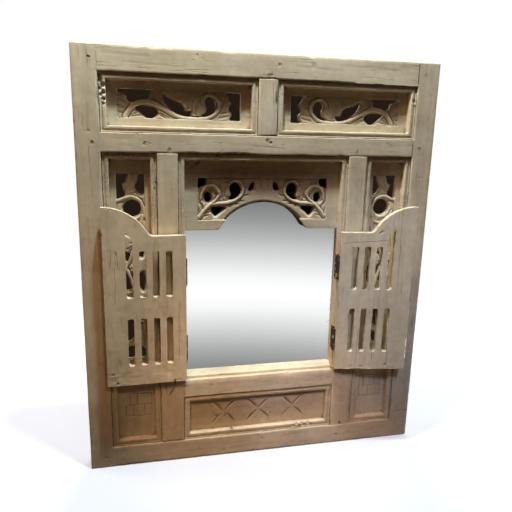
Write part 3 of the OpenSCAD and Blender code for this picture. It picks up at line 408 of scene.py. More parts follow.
def makePly():
    # thin plywood sheet behind the glass: broad face grain, and painted shade where other parts close in on it
    material, tree, shader = newMaterial("plywoodSheet", {"Specular IOR Level": 0.3, "Roughness": 0.7})
    wood = place(tree, bareTimber, {"Light": srgb(196, 158, 112), "Dark": srgb(150, 108, 68),
                                    "Stretch": (34.0, 60.0, 3.5)})
    # painted shade where the frame and glass close in on the sheet
    creviceShade = times(tree, place(tree, creviceShadeGroup, {})["Mask"], 0.5)
    feed(tree, shader, {"Base Color": tint(tree, creviceShade, wood["Colour"], srgb(70, 46, 28))})
    emboss(tree, shader, wood["Height"], 0.0004)
    return material


plywoodSheet = makePly()
print("finishes made")


# from here on meshes are made
def editable(mesh):
    bm = bmesh.new()
    bm.from_mesh(mesh)
    return bm


def meshOf(name, bm):
    mesh = bpy.data.meshes.new(name)
    bm.to_mesh(mesh)
    bm.free()
    return mesh


def stand(name, data):
    thing = bpy.data.objects.new(name, data)
    scene.collection.objects.link(thing)
    return thing


def layer(bm, name):
    return bm.verts.layers.float.get(name) or bm.verts.layers.float.new(name)


def weldedCopy(nodeName):
    # a CAD mesh comes as loose triangles, so it is merged and its flat faces are joined
    bm = editable(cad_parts[nodeName].data)
    bmesh.ops.remove_doubles(bm, verts=bm.verts[:], dist=0.02 * mm)
    bmesh.ops.dissolve_degenerate(bm, dist=0.005 * mm, edges=bm.edges[:])
    bmesh.ops.dissolve_limit(bm, angle_limit=math.radians(0.6), verts=bm.verts[:], edges=bm.edges[:])
    return bm


def keep(name, bm, body, materials, nodes, sharp=40):
    mesh = meshOf(name, bm)
    for material in materials:
        mesh.materials.append(material)
    mesh.shade_smooth()
    mesh.set_sharp_from_angle(angle=math.radians(sharp))
    piece = stand(name, mesh)
    # as in the photograph, the mirror shows the soft room, and of the frame only what stands close before it
    piece.visible_glossy = name == "carvedArchPanel"
    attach(piece, body)
    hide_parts(*nodes)


def cut(bm, point, normal, geom=None, dist=0.01 * mm, **settings):
    if geom is None:
        geom = bm.verts[:] + bm.edges[:] + bm.faces[:]
    return bmesh.ops.bisect_plane(bm, geom=geom, dist=dist, plane_co=point, plane_no=normal, **settings)["geom"]


def partsOf(faces):
    # the faces with their edges and corners, each once and in order
    return list(dict.fromkeys(g for f in faces for g in (f, *f.edges, *f.verts)))


def islands(bm):
    # the faces of each connected part, always in the same order
    left, found = set(bm.faces), []
    for first in bm.faces[:]:
        part, edge = [], [first]
        while edge:
            face = edge.pop()
            if face in left:
                left.discard(face)
                part.append(face)
                edge.extend(f for e in face.edges for f in e.link_faces if f in left)
        if part:
            found.append(part)
    return found


def sliceUp(bm, axis, step, jitter=0.43):
    # cuts the mesh into thin steps along an axis, so that its edges can wander
    spread = [v.co.dot(axis) for v in bm.verts]
    at = min(spread) + jitter * step
    while at < max(spread):
        cut(bm, axis * at, axis)
        at += step


def softenArrises(bm, width, shortest, isArris, clamp=False):
    # bevels the sharp outer edges and marks the middle of each bevel as an arris
    edges = [e for e in bm.edges if len(e.link_faces) == 2 and e.calc_length() > shortest
             and e.calc_face_angle_signed() > math.radians(50) and isArris(e)]
    made = bmesh.ops.bevel(bm, geom=edges, offset=width, offset_type="OFFSET", segments=2, profile=0.5,
                           affect="EDGES", material=-1, clamp_overlap=clamp)
    arris = layer(bm, "arris")
    rounded = set(made["faces"])
    for v in {v for face in rounded for v in face.verts}:
        v[arris] = 1.0 if all(face in rounded for face in v.link_faces) else 0.35


driftLook = {"scale": 11, "reach": 0.4 * mm, "calm": 0.25, "calmWidth": 14 * mm, "calmFront": -30 * mm}


def drift(p):
    # the slow unevenness that all the frame's pieces share, so that neighbours still meet; calmer at the hinges
    atHinge = abs(abs(p.x) - hingeX) < driftLook["calmWidth"] and p.y < driftLook["calmFront"]
    fade = driftLook["calm"] if atHinge else 1.0
    return noise.noise_vector(p * driftLook["scale"]) * driftLook["reach"] * fade


def weather(bm, nick, rough=0.08, seed=0.0, box=None):
    # hand-planed faces, rounded and nicked arrises; how deep a nick goes is kept as "bare"
    arris, bare = layer(bm, "arris"), layer(bm, "bare")
    bm.normal_update()
    shift = Vector((seed, seed * 1.7, -seed))
    low, high = box or cadBox
    for v in bm.verts:
        p = v.co + shift
        depth = rough * (0.6 + noise.noise(p * 70)) if v.co.y < -0.002 else 0.0
        if v[arris] > 0:
            bite = noise.noise(p * 24) + 0.7 * noise.noise(p * 110) - 0.28
            if bite > 0:
                depth += min(bite * nick * 2.4, nick) * v[arris]
                v[bare] = min(bite * 2.2, 1.0) * (1.0 if v[arris] > 0.5 else 0.4)
        v.co += drift(v.co) - v.normal * depth * mm
        for i in range(3):
            v.co[i] = min(max(v.co[i], low[i]), high[i])


def gouge(bm, marks, face=frontY, facing=-1):
    # dents, chips and knots: a mark is x, z, radius and depth in millimetres, how bare and how grimy it is
    bare, grimeAndShade = layer(bm, "bare"), layer(bm, "grimeAndShade")
    for x, z, radius, depth, share, dark in marks:
        for v in bm.verts:
            if abs(v.co.y - face) < 10 * mm:
                away = math.hypot(v.co.x / mm - x, v.co.z / mm - z) / radius
                if away < 1:
                    v.co.y -= facing * depth * mm * (1 - away * away)
                    v[bare] = max(v[bare], share)
                    v[grimeAndShade] = max(v[grimeAndShade], dark * (1 - away * 0.5))


def refine(bm, marks, facing=-1):
    # extra cuts round a small mark, so that the mesh can follow it
    for x, z, radius, *rest in marks:
        near = [f for f in bm.faces if f.normal.y * facing > 0.5
                and abs(f.calc_center_median().z / mm - z) < 30 + radius]
        for axis, at in (("x", x), ("z", z)):
            for k in (-1, -0.5, 0, 0.5, 1):
                made = cut(bm, axes[axis] * (at + k * radius) * mm, axes[axis],
                           partsOf(f for f in near if f.is_valid))
                near = [g for g in made if isinstance(g, bmesh.types.BMFace)] or near


memberLook = {
    "arris": 1.3 * mm, "nick": 1.3, "step": 5 * mm, "cross": 13 * mm,
    # x, z, radius, depth, bareness and grime of the dents and nails that the front shows
    "dents": {
        "stile_left": [(-372, 300, 4, 0.6, 0.4, 0.2), (-365, 276, 3, 0.5, 0.3, 0.4)],
        "stile_right": [
            (352.6, -420.5, 2.4, 0.9, 0.3, 1), (354, -413, 1.8, 0.5, 0.3, 0.7), (372, 210, 3, 0.5, 0.3, 0.3)],
        "upright_left": [(-237.1, -394.5, 2, 0.6, 0.2, 0.9), (-225.6, -409.1, 2, 0.6, 0.2, 0.9)],
        "upright_right": [(209.5, -411, 3.8, 1.1, 0.5, 1), (212.4, -416, 3.2, 0.9, 0.3, 0.9)],
        "mullion": [(6.3, 420.4, 4.2, 0.5, 0.2, 0.6)],
        "top_rail": [
            (-152, 455.7, 1.9, 0.5, 0.2, 0.8), (-160, 446, 1.6, 0.5, 0.2, 0.7), (-141, 449, 1.6, 0.5, 0.2, 0.6),
            (23, 445.3, 4.5, 0.4, 0.2, 0.5), (100, 447, 7, 0.5, 0.2, 0.15), (6.3, 424, 3.6, 0.6, 0.2, 0.7)],
        "transom_rail": [
            (-277, 296, 2.4, 0.9, 0.2, 1), (-262, 276, 4, 0.6, 0.3, 0.5), (8.3, 283.7, 4, 0.5, 0.2, 0.5),
            (8.3, 283.7, 1.9, 0.9, 0.2, 1), (36, 279, 2.2, 0.4, 0.3, 0.4), (213, 270, 2.2, 0.8, 0.3, 0.8)],
        "sill_rail": [
            (40, -288, 3, 0.5, 0.2, 0.4), (-120, -280, 3, 0.4, 0.2, 0.3), (100, -305, 2.2, 0.4, 0.2, 0.6)],
        "bottom_rail": [
            (203, -444.5, 3.4, 0.7, 0.4, 0.8), (211, -446, 2, 0.6, 0.2, 0.8), (222.7, -446.7, 1.9, 0.6, 0.2, 0.9),
            (7, -433, 3.4, 0.6, 0.2, 0.6), (-90, -455, 5, 0.6, 0.3, 0.2)]}}
railSpans = [(box[0].z, box[1].z) for box in map(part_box, ("top_rail", "transom_rail", "bottom_rail"))]
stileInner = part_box("stile_right")[0].x


def isJoint(edge):
    # where a rail meets a stile the paint has closed the joint
    a, b = (v.co for v in edge.verts)
    flush = all(abs(abs(p.x) - stileInner) < 0.02 * mm for p in (a, b))
    return flush and any(low < (a.z + b.z) / 2 < high for low, high in railSpans)


def isOuterArris(edge):
    a, b = (v.co for v in edge.verts)
    front = max(a.y, b.y) < frontY + 0.01 * mm
    step = abs(a.y - b.y) < 0.01 * mm and a.y < panelY and abs(a.z - b.z) < 0.01 * mm
    sides = all(abs(abs(p.x) - cadBox[1].x) < 0.01 * mm for p in (a, b))
    ends = all(abs(abs(p.z) - cadBox[1].z) < 0.01 * mm for p in (a, b))
    return front or sides or ends or step


for nodeName, dents in memberLook["dents"].items():
    along, across = ("x", "z") if nodeName.endswith("rail") else ("z", "x")
    bm = weldedCopy(nodeName)
    if nodeName.startswith("stile"):
        for level in {z for span in railSpans for z in span}:
            cut(bm, axes["z"] * level, axes["z"])
    softenArrises(bm, memberLook["arris"], 5 * mm, lambda e: isOuterArris(e) and not isJoint(e))
    sliceUp(bm, axes[along], memberLook["step"])
    sliceUp(bm, axes[across], memberLook["cross"])
    refine(bm, dents)
    weather(bm, memberLook["nick"], seed=len(nodeName) * 0.37)
    gouge(bm, dents)
    keep(nodeName.replace("_", "") + "Worn", bm, "frame",
         [memberUpright if along == "z" else memberAcross], [nodeName])
print("frame members made")

# the pegs, sunk a little with shrinking
bm = weldedCopy("joint_pegs")
softenArrises(bm, 0.35 * mm, 0.1 * mm, lambda e: max(v.co.y for v in e.verts) < frontY + 0.01 * mm)
for v in bm.verts:
    if v.co.y < frontY + mm:
        v.co.y += 0.7 * mm + 0.3 * mm * noise.noise(v.co * 9)
weather(bm, 0.3)
keep("drawPegs", bm, "frame", [memberAcross], ["joint_pegs"])


beadLook = {
    "arris": 0.45 * mm, "nick": 0.8, "step": 4 * mm, "sunk": 3 * mm, "jambFrom": 30 * mm, "jambRise": 60 * mm,
    # x, z, radius, depth, bareness and grime of the chips
    "chips": {
        "top_bay_beads_left": [
            (-348, 409, 5.5, 4, 0.2, 0.5), (-345, 400, 6, 4.5, 0.2, 0.35), (-340, 390, 6.5, 5, 0.25, 0.3),
            (-346, 383, 4.5, 3.5, 0.2, 0.6), (-339, 376, 5.5, 4.5, 0.2, 0.4), (-345, 371, 4, 2.5, 0.2, 0.2),
            (-339, 363, 4.5, 3.5, 0.2, 0.5), (-340, 354, 3.4, 2.5, 0.2, 0.3)],
        "bottom_bay_beads": [
            (88, -409, 5.5, 2.2, 0.2, 0.1), (97, -405, 4.6, 3.2, 0.3, 0.35), (105, -412, 5.4, 3.4, 0.2, 0.15),
            (111, -405, 4.4, 2.8, 0.3, 0.4), (118, -411, 6, 3.6, 0.25, 0.15), (126, -405, 4.6, 3.2, 0.3, 0.5),
            (133, -410, 5, 2.2, 0.2, 0.2), (-30, -408, 2.4, 1, 0.2, 0.6)],
        "top_bay_beads_right": [(343, 384, 5, 1.5, 0.3, 0.5), (346, 372, 3, 1.2, 0.3, 0.6)],
        "side_bay_beads_left": [(-240, 196, 3, 1.6, 0.2, 0.6), (-243, 184, 2.6, 1.4, 0.2, 0.6)],
        "side_bay_beads_right": [],
        "arch_top_bead": [],
        "jamb_bead_left": [],
        "jamb_bead_right": []}}

for nodeName, chips in beadLook["chips"].items():
    bm = weldedCopy(nodeName)
    softenArrises(bm, beadLook["arris"], 6 * mm, lambda e: max(v.co.y for v in e.verts) < panelY - 2 * mm, True)
    sliceUp(bm, axes["x"], beadLook["step"])
    sliceUp(bm, axes["z"], beadLook["step"])
    refine(bm, chips)
    for v in bm.verts:
        # a bead lies a little behind the members round it; those that carry the hinges come forward below the arch
        rise = (v.co.z - beadLook["jambFrom"]) / beadLook["jambRise"] if "jamb" in nodeName else 1.0
        back = beadLook["sunk"] * min(max(rise, 0.0), 1.0)
        if v.co.y < panelY:
            v.co.y += back * (panelY - v.co.y) / (panelY - frontY)
    weather(bm, beadLook["nick"], seed=len(nodeName) * 0.21)
    gouge(bm, chips)
    # each strip takes the finish that runs along it
    for strip in islands(bm):
        corners = [v.co for f in strip for v in f.verts]
        spread = [max(c[i] for c in corners) - min(c[i] for c in corners) for i in (0, 2)]
        for face in strip:
            face.material_index = 0 if spread[0] > spread[1] else 1
    keep(nodeName.replace("_", "") + "Worn", bm, "frame", [beadAcross, beadUpright], [nodeName])
print("bead mouldings made")


def smoothLine(points, steps=6):
    line = []
    for i in range(len(points) - 1):
        a, b, c, d = (Vector(points[min(max(i + k, 0), len(points) - 1)]) for k in (-1, 0, 1, 2))
        for k in range(steps):
            t = k / steps
            line.append(0.5 * (2 * b + (c - a) * t + (2 * a - 5 * b + 4 * c - d) * t * t
                               + (3 * b - a - 3 * c + d) * t ** 3))
    return line + [Vector(points[-1])]


def searchTree(points):
    tree = kdtree.KDTree(len(points))
    for i, (x, z) in enumerate(points):
        tree.insert((x, z, 0), i)
    tree.balance()
    return tree


def treeOf(lines, widths=(1, 1)):
    # a search tree over points half a millimetre apart along some lines, with the width at each
    found = []
    for line in lines:
        for i, (a, b) in enumerate(zip(line, line[1:])):
            pieces = max(1, int((b - a).length / 0.5))
            for k in range(pieces):
                share = (i + k / pieces) / (len(line) - 1)
                found.append((a.lerp(b, k / pieces), widths[0] + (widths[1] - widths[0]) * share))
    return searchTree([p for p, width in found]), [width for p, width in found]


def sideVeins(lines, spacing, reach, lean, seed):
    # leaf veins that leave a stem on both sides and bend along it
    dice = random.Random(seed)
    veins = []
    for line in lines:
        walked, due = 0.0, spacing * 0.6
        for a, b in zip(line, line[1:]):
            walked += (b - a).length
            if walked < due or (b - a).length == 0:
                continue
            due += spacing * dice.uniform(0.8, 1.2)
            ahead = (b - a).normalized()
            for side in (-1, 1):
                out = Vector((-ahead.y, ahead.x)) * side
                length = reach * dice.uniform(0.7, 1.1)
                veins.append(smoothLine([a + out * 2, a + out * length * 0.45 + ahead * length * 0.2 * lean,
                                         a + out * length * 0.8 + ahead * length * 0.65 * lean], 4))
    return veins


def applied(mesh, kind, settings):
    # the mesh with a modifier worked into it
    carrier = stand("carrier", mesh)
    modifier = carrier.modifiers.new(kind, kind)
    for name, value in settings.items():
        setattr(modifier, name, value)
    made = bpy.data.meshes.new_from_object(carrier.evaluated_get(bpy.context.evaluated_depsgraph_get()))
    bpy.data.objects.remove(carrier)
    return made


def clipTo(bm, x0, x1, z0, z1):
    # leaves the part of the board that shows in its bay, closed at the cuts
    for axis, at, sign in (("x", x0, -1), ("x", x1, 1), ("z", z0, -1), ("z", z1, 1)):
        cut(bm, axes[axis] * at * mm, axes[axis] * sign, clear_outer=True)
        rim = [e for e in bm.edges if e.is_boundary]
        if rim:
            bmesh.ops.holes_fill(bm, edges=rim, sides=0)


carveLook = {   # millimetres below the panel face, and widths
    "voxel": 1.05 * mm, "leafEdge": 6.0, "leafFall": 6.5, "stemTop": 0.2, "stemFall": 4.6, "groove": 2.2,
    "grooveDepth": 6.5, "veinWidth": 2.1, "veinDepth": 2.6, "web": 1.7, "cadWeb": 3.5, "margin": 0.7,
    "smooth": (0.5, 0.35), "tooled": 0.12 * mm, "keepShare": 0.34, "seed": 5}

# stems and veins are lines of points x, z, x, z and so on, drawn in a field that is laid over the window;
# spread is the spacing, reach and lean of the veins that leave the stems
topCarving = {
    "field": (256, 57), "window": (56, 314.5, 328, 386), "bay": (19, 351.5, 296, 418), "widths": (11.0, 7.0),
    "stems": [[242, 2, 226, 24, 206, 33, 186, 32, 166, 22, 146, 11, 126, 4, 96, 1.5, 66, 6, 49, 20, 45, 36, 54, 48,
               68, 52.5, 80, 46, 84, 34]],
    "veins": [[177, 15, 166, 9, 153, 3], [176, 11, 165, 4, 158, 1], [168, 17, 152, 9, 136, 3],
              [238, 3, 231, 12, 216, 17], [236, 2, 225, 8, 214, 12], [232, 2, 219, 5, 208, 6],
              [87, 52, 100, 44, 106, 30, 103, 15, 92, 9], [93, 40, 98, 28, 96, 15], [112, 50, 117, 36, 113, 22],
              [184, 34, 180, 45, 173, 56], [171, 30, 166, 41, 164, 54], [150, 36, 146, 46, 147, 56],
              [144, 36, 131, 43, 114, 48], [122, 34, 113, 44, 108, 54], [46, 5, 33, 8, 22, 11],
              [42, 14, 32, 17, 24, 20], [43, 29, 33, 29, 23, 31], [44, 42, 36, 48, 30, 53], [40, 36, 32, 39, 26, 42],
              [232, 26, 244, 34, 254, 40], [236, 18, 246, 22, 255, 26], [240, 9, 248, 11, 255, 12]]}

sideCarving = {
    "field": (59, 430), "window": (263.5, 323, -216, 214), "bay": (235, 351.5, -419, 260), "widths": (9.0, 6.5),
    "stems": [[57, 372, 40, 379, 28, 381, 12, 374, 4, 358, 2, 338], [4, 340, 10, 322, 30, 318, 48, 328, 54, 346],
              [3, 325, 8, 300, 24, 270, 40, 228, 54, 222, 57, 240],
              [57, 226, 40, 216, 24, 160, 20, 120, 24, 80, 20, 40, 30, 2], [22, 150, 40, 148, 56, 132],
              [20, 46, 38, 44, 57, 56]],
    "veins": [[44, 384, 30, 396, 20, 402], [46, 388, 34, 402, 26, 416], [40, 384, 24, 388, 14, 386]],
    "spread": (9, 17, 1.0)}

archCarving = {
    "field": (149, 94), "window": (0, 149.5, 112, 206), "bay": (-190, 190, 80, 266), "widths": (11.0, 5.5),
    "stems": [[146, 6, 134, 22, 122, 34, 108, 46, 99, 60],
              [120, 35, 104, 37, 86, 38, 64, 45, 50, 58, 49, 72, 56, 84, 70, 87, 80, 78],
              [100, 60, 112, 74, 128, 74, 140, 62, 143, 46]],
    "veins": [[146, 40, 138, 30, 136, 18], [140, 46, 132, 36, 130, 26], [112, 66, 122, 62, 130, 54],
              [70, 62, 76, 54, 86, 50], [24, 72, 26, 82, 22, 90], [8, 72, 8, 82, 6, 90], [104, 52, 116, 60, 126, 66],
              [90, 42, 96, 52, 94, 66], [84, 46, 90, 58, 86, 72]],
    "look": {"groove": 2.0, "grooveDepth": 6.0, "stemFall": 3.8, "web": 2.0},
    "spread": (11, 16, 1.0)}


def carvedPanel(pieceName, nodeName, carving, side, material):
    look = {**carveLook, **carving.get("look", {})}
    bm = weldedCopy(nodeName)
    x0, x1, z0, z1 = carving["bay"]
    if side < 0:
        x0, x1 = -x1, -x0
    clipTo(bm, x0, x1, z0, z1)
    bmesh.ops.triangulate(bm, faces=bm.faces[:])
    bm = editable(applied(meshOf("rough", bm), "REMESH", {"mode": "VOXEL", "voxel_size": look["voxel"]}))
    wx0, wx1, wz0, wz1 = carving["window"]
    scaleX, scaleZ = (wx1 - wx0) / carving["field"][0], (wz1 - wz0) / carving["field"][1]

    def onto(points):
        return [(wx0 + x * scaleX, wz0 + z * scaleZ) for x, z in zip(points[::2], points[1::2])]

    stemLines = [smoothLine(onto(s)) for s in carving["stems"]]
    veinLines = [smoothLine(onto(s)) for s in carving["veins"]]
    if "spread" in carving:
        veinLines += sideVeins(stemLines, *carving["spread"], look["seed"])
    stems, widths = treeOf(stemLines, carving["widths"])
    veins = treeOf(veinLines)[0]
    both, margin = nodeName == "arch_panel", look["margin"]
    inside = {}
    for v in bm.verts:
        x, z = (abs(v.co.x) if both else v.co.x * side) / mm, v.co.z / mm
        if (both or wx0 + margin < x) and x < wx1 - margin and wz0 + margin < z < wz1 - margin:
            inside[v] = (x, z)
    bm.normal_update()
    walls = searchTree([p for v, p in inside.items()
                        if panelY + 5 * mm < v.co.y < panelBackY - 2 * mm and abs(v.normal.y) < 0.6])
    thick = (panelBackY - panelY) / mm
    for v, (x, z) in inside.items():
        drop = (v.co.y - panelY) / mm      # depth of this point below the panel face
        if drop > thick - 0.6:
            continue
        toWall = walls.find((x, z, 0))[2] or 99
        _, number, toStem = stems.find((x, z, 0))
        toVein = veins.find((x, z, 0))[2]
        half = widths[number] / 2
        edge = max(0.0, 1 - toWall / look["leafEdge"])
        leaf = look["web"] + look["leafFall"] * edge * edge
        if toVein < look["veinWidth"]:
            leaf += look["veinDepth"] * (1 - toVein / look["veinWidth"])
        if toStem < half:
            top = look["stemTop"] + look["stemFall"] * (1 - math.sqrt(max(0.0, 1 - (toStem / half) ** 2)))
        elif toStem < half + look["groove"]:
            share = (toStem - half) / look["groove"]
            top = max(leaf, look["grooveDepth"] * (1 - share) + leaf * share)
        else:
            top = leaf
        # everything between the back and the old web face is squeezed to the new height
        share = min((thick - drop) / (thick - look["cadWeb"]), 1.0)
        v.co.y = panelY + (thick - share * (thick - top)) * mm
    for factor in look["smooth"]:
        bmesh.ops.smooth_vert(bm, verts=list(inside), factor=factor, use_axis_x=True, use_axis_y=True,
                              use_axis_z=True)
    for name in ("arris", "bare"):
        layer(bm, name)
    for v in bm.verts:
        v.co += drift(v.co) + Vector((0, look["tooled"] * (0.6 + noise.noise(v.co * 160)), 0))
        v.co.y = min(max(v.co.y, panelY), panelBackY)
    bm = editable(applied(meshOf("carved", bm), "DECIMATE", {"ratio": look["keepShare"]}))
    grimeAndShade = layer(bm, "grimeAndShade")
    for v in bm.verts:
        # painted shade, darker the deeper a point lies: in the incised bricks, and a little in the deepest carving
        deep = (v.co.y - panelY) / mm
        if v.co.z / mm < wz0 - 4:
            v[grimeAndShade] = min(max((deep - 0.5) * 1.2, 0.0), 0.55) if deep < 4 else 0.0
        elif deep < 12:
            v[grimeAndShade] = min(max((deep - 4.5) * 0.12, 0.0), 0.5)
    keep(pieceName, bm, "frame", [material], [nodeName], 55)


carvedPanel("carvedTopPanelRight", "top_panel_right", topCarving, 1, panelAcross)
carvedPanel("carvedTopPanelLeft", "top_panel_left", topCarving, -1, panelAcross)
carvedPanel("carvedSidePanelRight", "side_panel_right", sideCarving, 1, panelUpright)
carvedPanel("carvedSidePanelLeft", "side_panel_left", sideCarving, -1, panelUpright)
carvedPanel("carvedArchPanel", "arch_panel", archCarving, 1, panelAcross)

petalLook = {
    "slice": 6 * mm, "deeper": 1.7, "cuts": 2, "nick": 0.3,
    "from": 0.3 * mm, "to": (4 * mm, 5 * mm),       # depths of a petal's faces, in CAD and when deepened
    "grimeAndShade": (0.9, 0.5), "shadeFrom": 0.5 * mm,     # painted shade on a petal's down-facing walls, facing right and facing left, from this depth on
    "marks": [(-105.8, -368.7, 3.2, 1.0, 0.2, 0.9), (-112, -362, 2.2, 0.6, 0.2, 0.7),
              (-83.5, -371, 2.6, 0.8, 0.2, 0.9), (-98, -380, 2.4, 0.7, 0.2, 0.6),
              (30.6, -374.5, 2.4, 0.8, 0.2, 0.9), (27, -381, 1.9, 0.6, 0.2, 0.8)]}


def petalFaces(bm, deepest):
    return [f for f in bm.faces if petalLook["from"] < f.calc_center_median().y - panelY < deepest]


bm = weldedCopy("bottom_panel")
for axis in "xz":
    sliceUp(bm, axes[axis], petalLook["slice"])
refine(bm, petalLook["marks"])
grimeAndShade = layer(bm, "grimeAndShade")
petals = petalFaces(bm, petalLook["to"][0])
for v in {v for face in petals for v in face.verts}:
    v.co.y = panelY + petalLook["deeper"] * (v.co.y - panelY)
edges = list(dict.fromkeys(edge for face in petals for edge in face.edges))
bmesh.ops.subdivide_edges(bm, edges=edges, cuts=petalLook["cuts"], use_grid_fill=True)
bm.normal_update()
# painted shade: each petal's down-facing walls are darkened, more where they face right
for face in [f for f in petalFaces(bm, petalLook["to"][1]) if f.normal.z < -0.1]:
    for v in face.verts:
        if v.co.y - panelY > petalLook["shadeFrom"]:
            v[grimeAndShade] = petalLook["grimeAndShade"][0 if face.normal.x > 0 else 1]
weather(bm, petalLook["nick"])
gouge(bm, petalLook["marks"], panelY)
keep("petalPanel", bm, "frame", [panelAcross], ["bottom_panel"], 25)
print("panels carved")

shutterLook = {
    "arris": 1.2 * mm, "nick": 1.6, "step": 5 * mm, "cross": 7 * mm,
    # drawn on the closed shutter: x, z, radius, depth, bareness and grime
    "marks": {
        "left": [
            (-14, 147, 3.4, 1.2, 0.4, 0.9), (-22, 144, 2.2, 0.8, 0.3, 0.8), (-172, 85, 2.6, 1.2, 0.3, 0.9),
            (-115, -50, 2.4, 0.7, 0.2, 0.8), (-14, -223, 3, 0.8, 0.3, 0.8), (-17, -231, 2.6, 0.8, 0.3, 0.6),
            (-24, -246, 3.4, 1.2, 0.4, 0.7), (-149, -249, 3.6, 1.6, 0.4, 0.9), (-158, -247, 2.6, 1, 0.3, 0.6)],
        "right": [
            (83, 89, 3, 1.4, 0.3, 1), (87, 86, 2.2, 1, 0.3, 0.8), (136, -243, 3, 1.2, 0.4, 0.6),
            (92, -241, 2.6, 1, 0.3, 0.5), (50, -240, 3.6, 1.4, 0.4, 0.6), (110, -244, 2.6, 1, 0.4, 0.6)]},
    "pins": {"left": (-hingeX, -0.058, 179.0), "right": (hingeX, -0.058, -170.5)}}      # and the turn that closes it


def turnAbout(x, y, degrees):
    spot = Vector((x, y, 0))
    return Matrix.Translation(spot) @ Matrix.Rotation(math.radians(degrees), 4, "Z") @ Matrix.Translation(-spot)


for side, (x, y, turn) in shutterLook["pins"].items():
    nodeName = "shutter_" + side
    bm = weldedCopy(nodeName)
    closing = turnAbout(x, y, turn)
    bmesh.ops.transform(bm, matrix=closing, verts=bm.verts[:])
    low, high = (Vector(f(v.co[i] for v in bm.verts) for i in range(3)) for f in (min, max))
    softenArrises(bm, shutterLook["arris"], 0.2 * mm, lambda e: True, True)
    sliceUp(bm, axes["z"], shutterLook["step"])
    sliceUp(bm, axes["x"], shutterLook["cross"])
    marks = shutterLook["marks"][side]
    refine(bm, marks, 1)
    weather(bm, shutterLook["nick"], seed=3.0 if side == "left" else 5.5, box=(low, high))
    gouge(bm, marks, high.y, 1)
    bmesh.ops.transform(bm, matrix=closing.inverted(), verts=bm.verts[:])
    keep(side + "ShutterBoard", bm, side + "_shutter", [shutterPaint], [nodeName])
print("shutters made")

ironLook = {"leaf": 0.22 * mm, "plate": 0.4 * mm, "board": 0.7 * mm, "slotWidth": 0.9 * mm, "slotDepth": 0.7 * mm}
sideBodies = {"left": "left_shutter", "right": "right_shutter"}


def plainPiece(nodeName, body, material, soften):
    bm = weldedCopy(nodeName)
    softenArrises(bm, soften, 0.5 * mm, lambda e: True, True)
    keep(nodeName.replace("_", "") + "Finished", bm, body, [material], [nodeName], 35)


def slottedScrews(nodeName, body, material, seed):
    # cuts a driver's slot into every head: the largest flat face of each screw
    bm = weldedCopy(nodeName)
    dice = random.Random(seed)
    for head in [max(screw, key=lambda f: f.calc_area()) for screw in islands(bm)]:
        normal, centre = head.normal.copy(), head.calc_center_bounds()
        across = normal.orthogonal().normalized()
        across.rotate(Matrix.Rotation(dice.uniform(0, math.pi), 3, normal))
        parts = [head]
        for sign in (-1, 1):
            made = cut(bm, centre + across * sign * ironLook["slotWidth"] / 2, across, partsOf(parts), 0.001 * mm)
            parts = [g for g in made if isinstance(g, bmesh.types.BMFace)]
        strip = min(parts, key=lambda f: (f.calc_center_bounds() - centre).length)
        sunk = bmesh.ops.extrude_discrete_faces(bm, faces=[strip])["faces"][0]
        bmesh.ops.translate(bm, vec=-normal * ironLook["slotDepth"], verts=sunk.verts[:])
    keep(nodeName.replace("_", "") + "Slotted", bm, body, [material], [nodeName], 35)


for side, moving in sideBodies.items():
    for level in ("upper", "lower"):
        for what, body in (("frame_leaf", "frame"), ("hinge_pin", "frame"), ("shutter_leaf", moving)):
            plainPiece(f"{what}_{level}_{side}", body, hingeIron, ironLook["leaf"])
    plainPiece(f"hanging_plate_{side}", "frame", zincSteel, ironLook["plate"])
    slottedScrews(f"frame_leaf_screws_{side}", "frame", screwIron, 11)
    slottedScrews(f"shutter_leaf_screws_{side}", moving, screwIron, 12)
slottedScrews("hanging_plate_screws", "frame", zincSteel, 13)
slottedScrews("backboard_screws", "frame", zincSteel, 14)
plainPiece("backboard", "frame", plywoodSheet, ironLook["board"])
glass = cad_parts["mirror_glass"]
glass.data.materials.clear()
glass.data.materials.append(silveredGlass)
print("metal and glass made")

roomLook = {
    "floorSize": 12.0, "whiteFrom": 0.7, "whiteTo": 1.5, "glow": 0.42, "wallGap": 4 * mm, "wallSize": (0.77, 0.9),
    "floor": (0.42, 0.46, 0.55, 1.0), "bounce": (0.06, 0.035, 0.02, 1.0), "wall": srgb(36, 27, 20),
    "white": (1.0, 1.0, 1.0, 1.0), "soft": (1.0, 0.7, 0.5, 1.0), "softLevel": 0.024, "room": (0.22, 0.22, 0.22, 1.0),
    # height and brightness of the light band that the mirror sees
    "bandFrom": -0.5, "bands": [(-0.418, 0.30), (-0.390, 0.46), (-0.348, 0.79), (-0.319, 1.0), (-0.290, 1.1),
                                (-0.260, 0.99), (-0.215, 0.69), (-0.185, 0.485), (-0.155, 0.335), (-0.124, 0.24)]}


def shine(tree, kind, colour, strength=1.0):
    return add(tree, kind, {"Color": colour, "Strength": strength}).outputs[0]


def blend(tree, factor, a, b):
    return add(tree, "MixShader", {0: factor, 1: a, 2: b}).outputs[0]


def floorSurface(tree):
    # pale near the object and white further off; reflections pass through it
    parts = splitUp(tree, objectPoint(tree))
    far = ramp(tree, lengthOf(tree, parts["X"], parts["Y"]), roomLook["whiteFrom"], roomLook["whiteTo"])
    path = add(tree, "LightPath").outputs
    matt, warm = (add(tree, "BsdfDiffuse", {"Color": roomLook[name]}).outputs[0] for name in ("floor", "bounce"))
    near = add(tree, "AddShader", {0: matt, 1: shine(tree, "Emission", roomLook["white"], roomLook["glow"])})
    seen = blend(tree, far, near.outputs[0], shine(tree, "Emission", roomLook["white"]))
    lit = blend(tree, path["Is Camera Ray"], warm, seen)
    return blend(tree, path["Is Glossy Ray"], lit, add(tree, "BsdfTransparent").outputs[0])


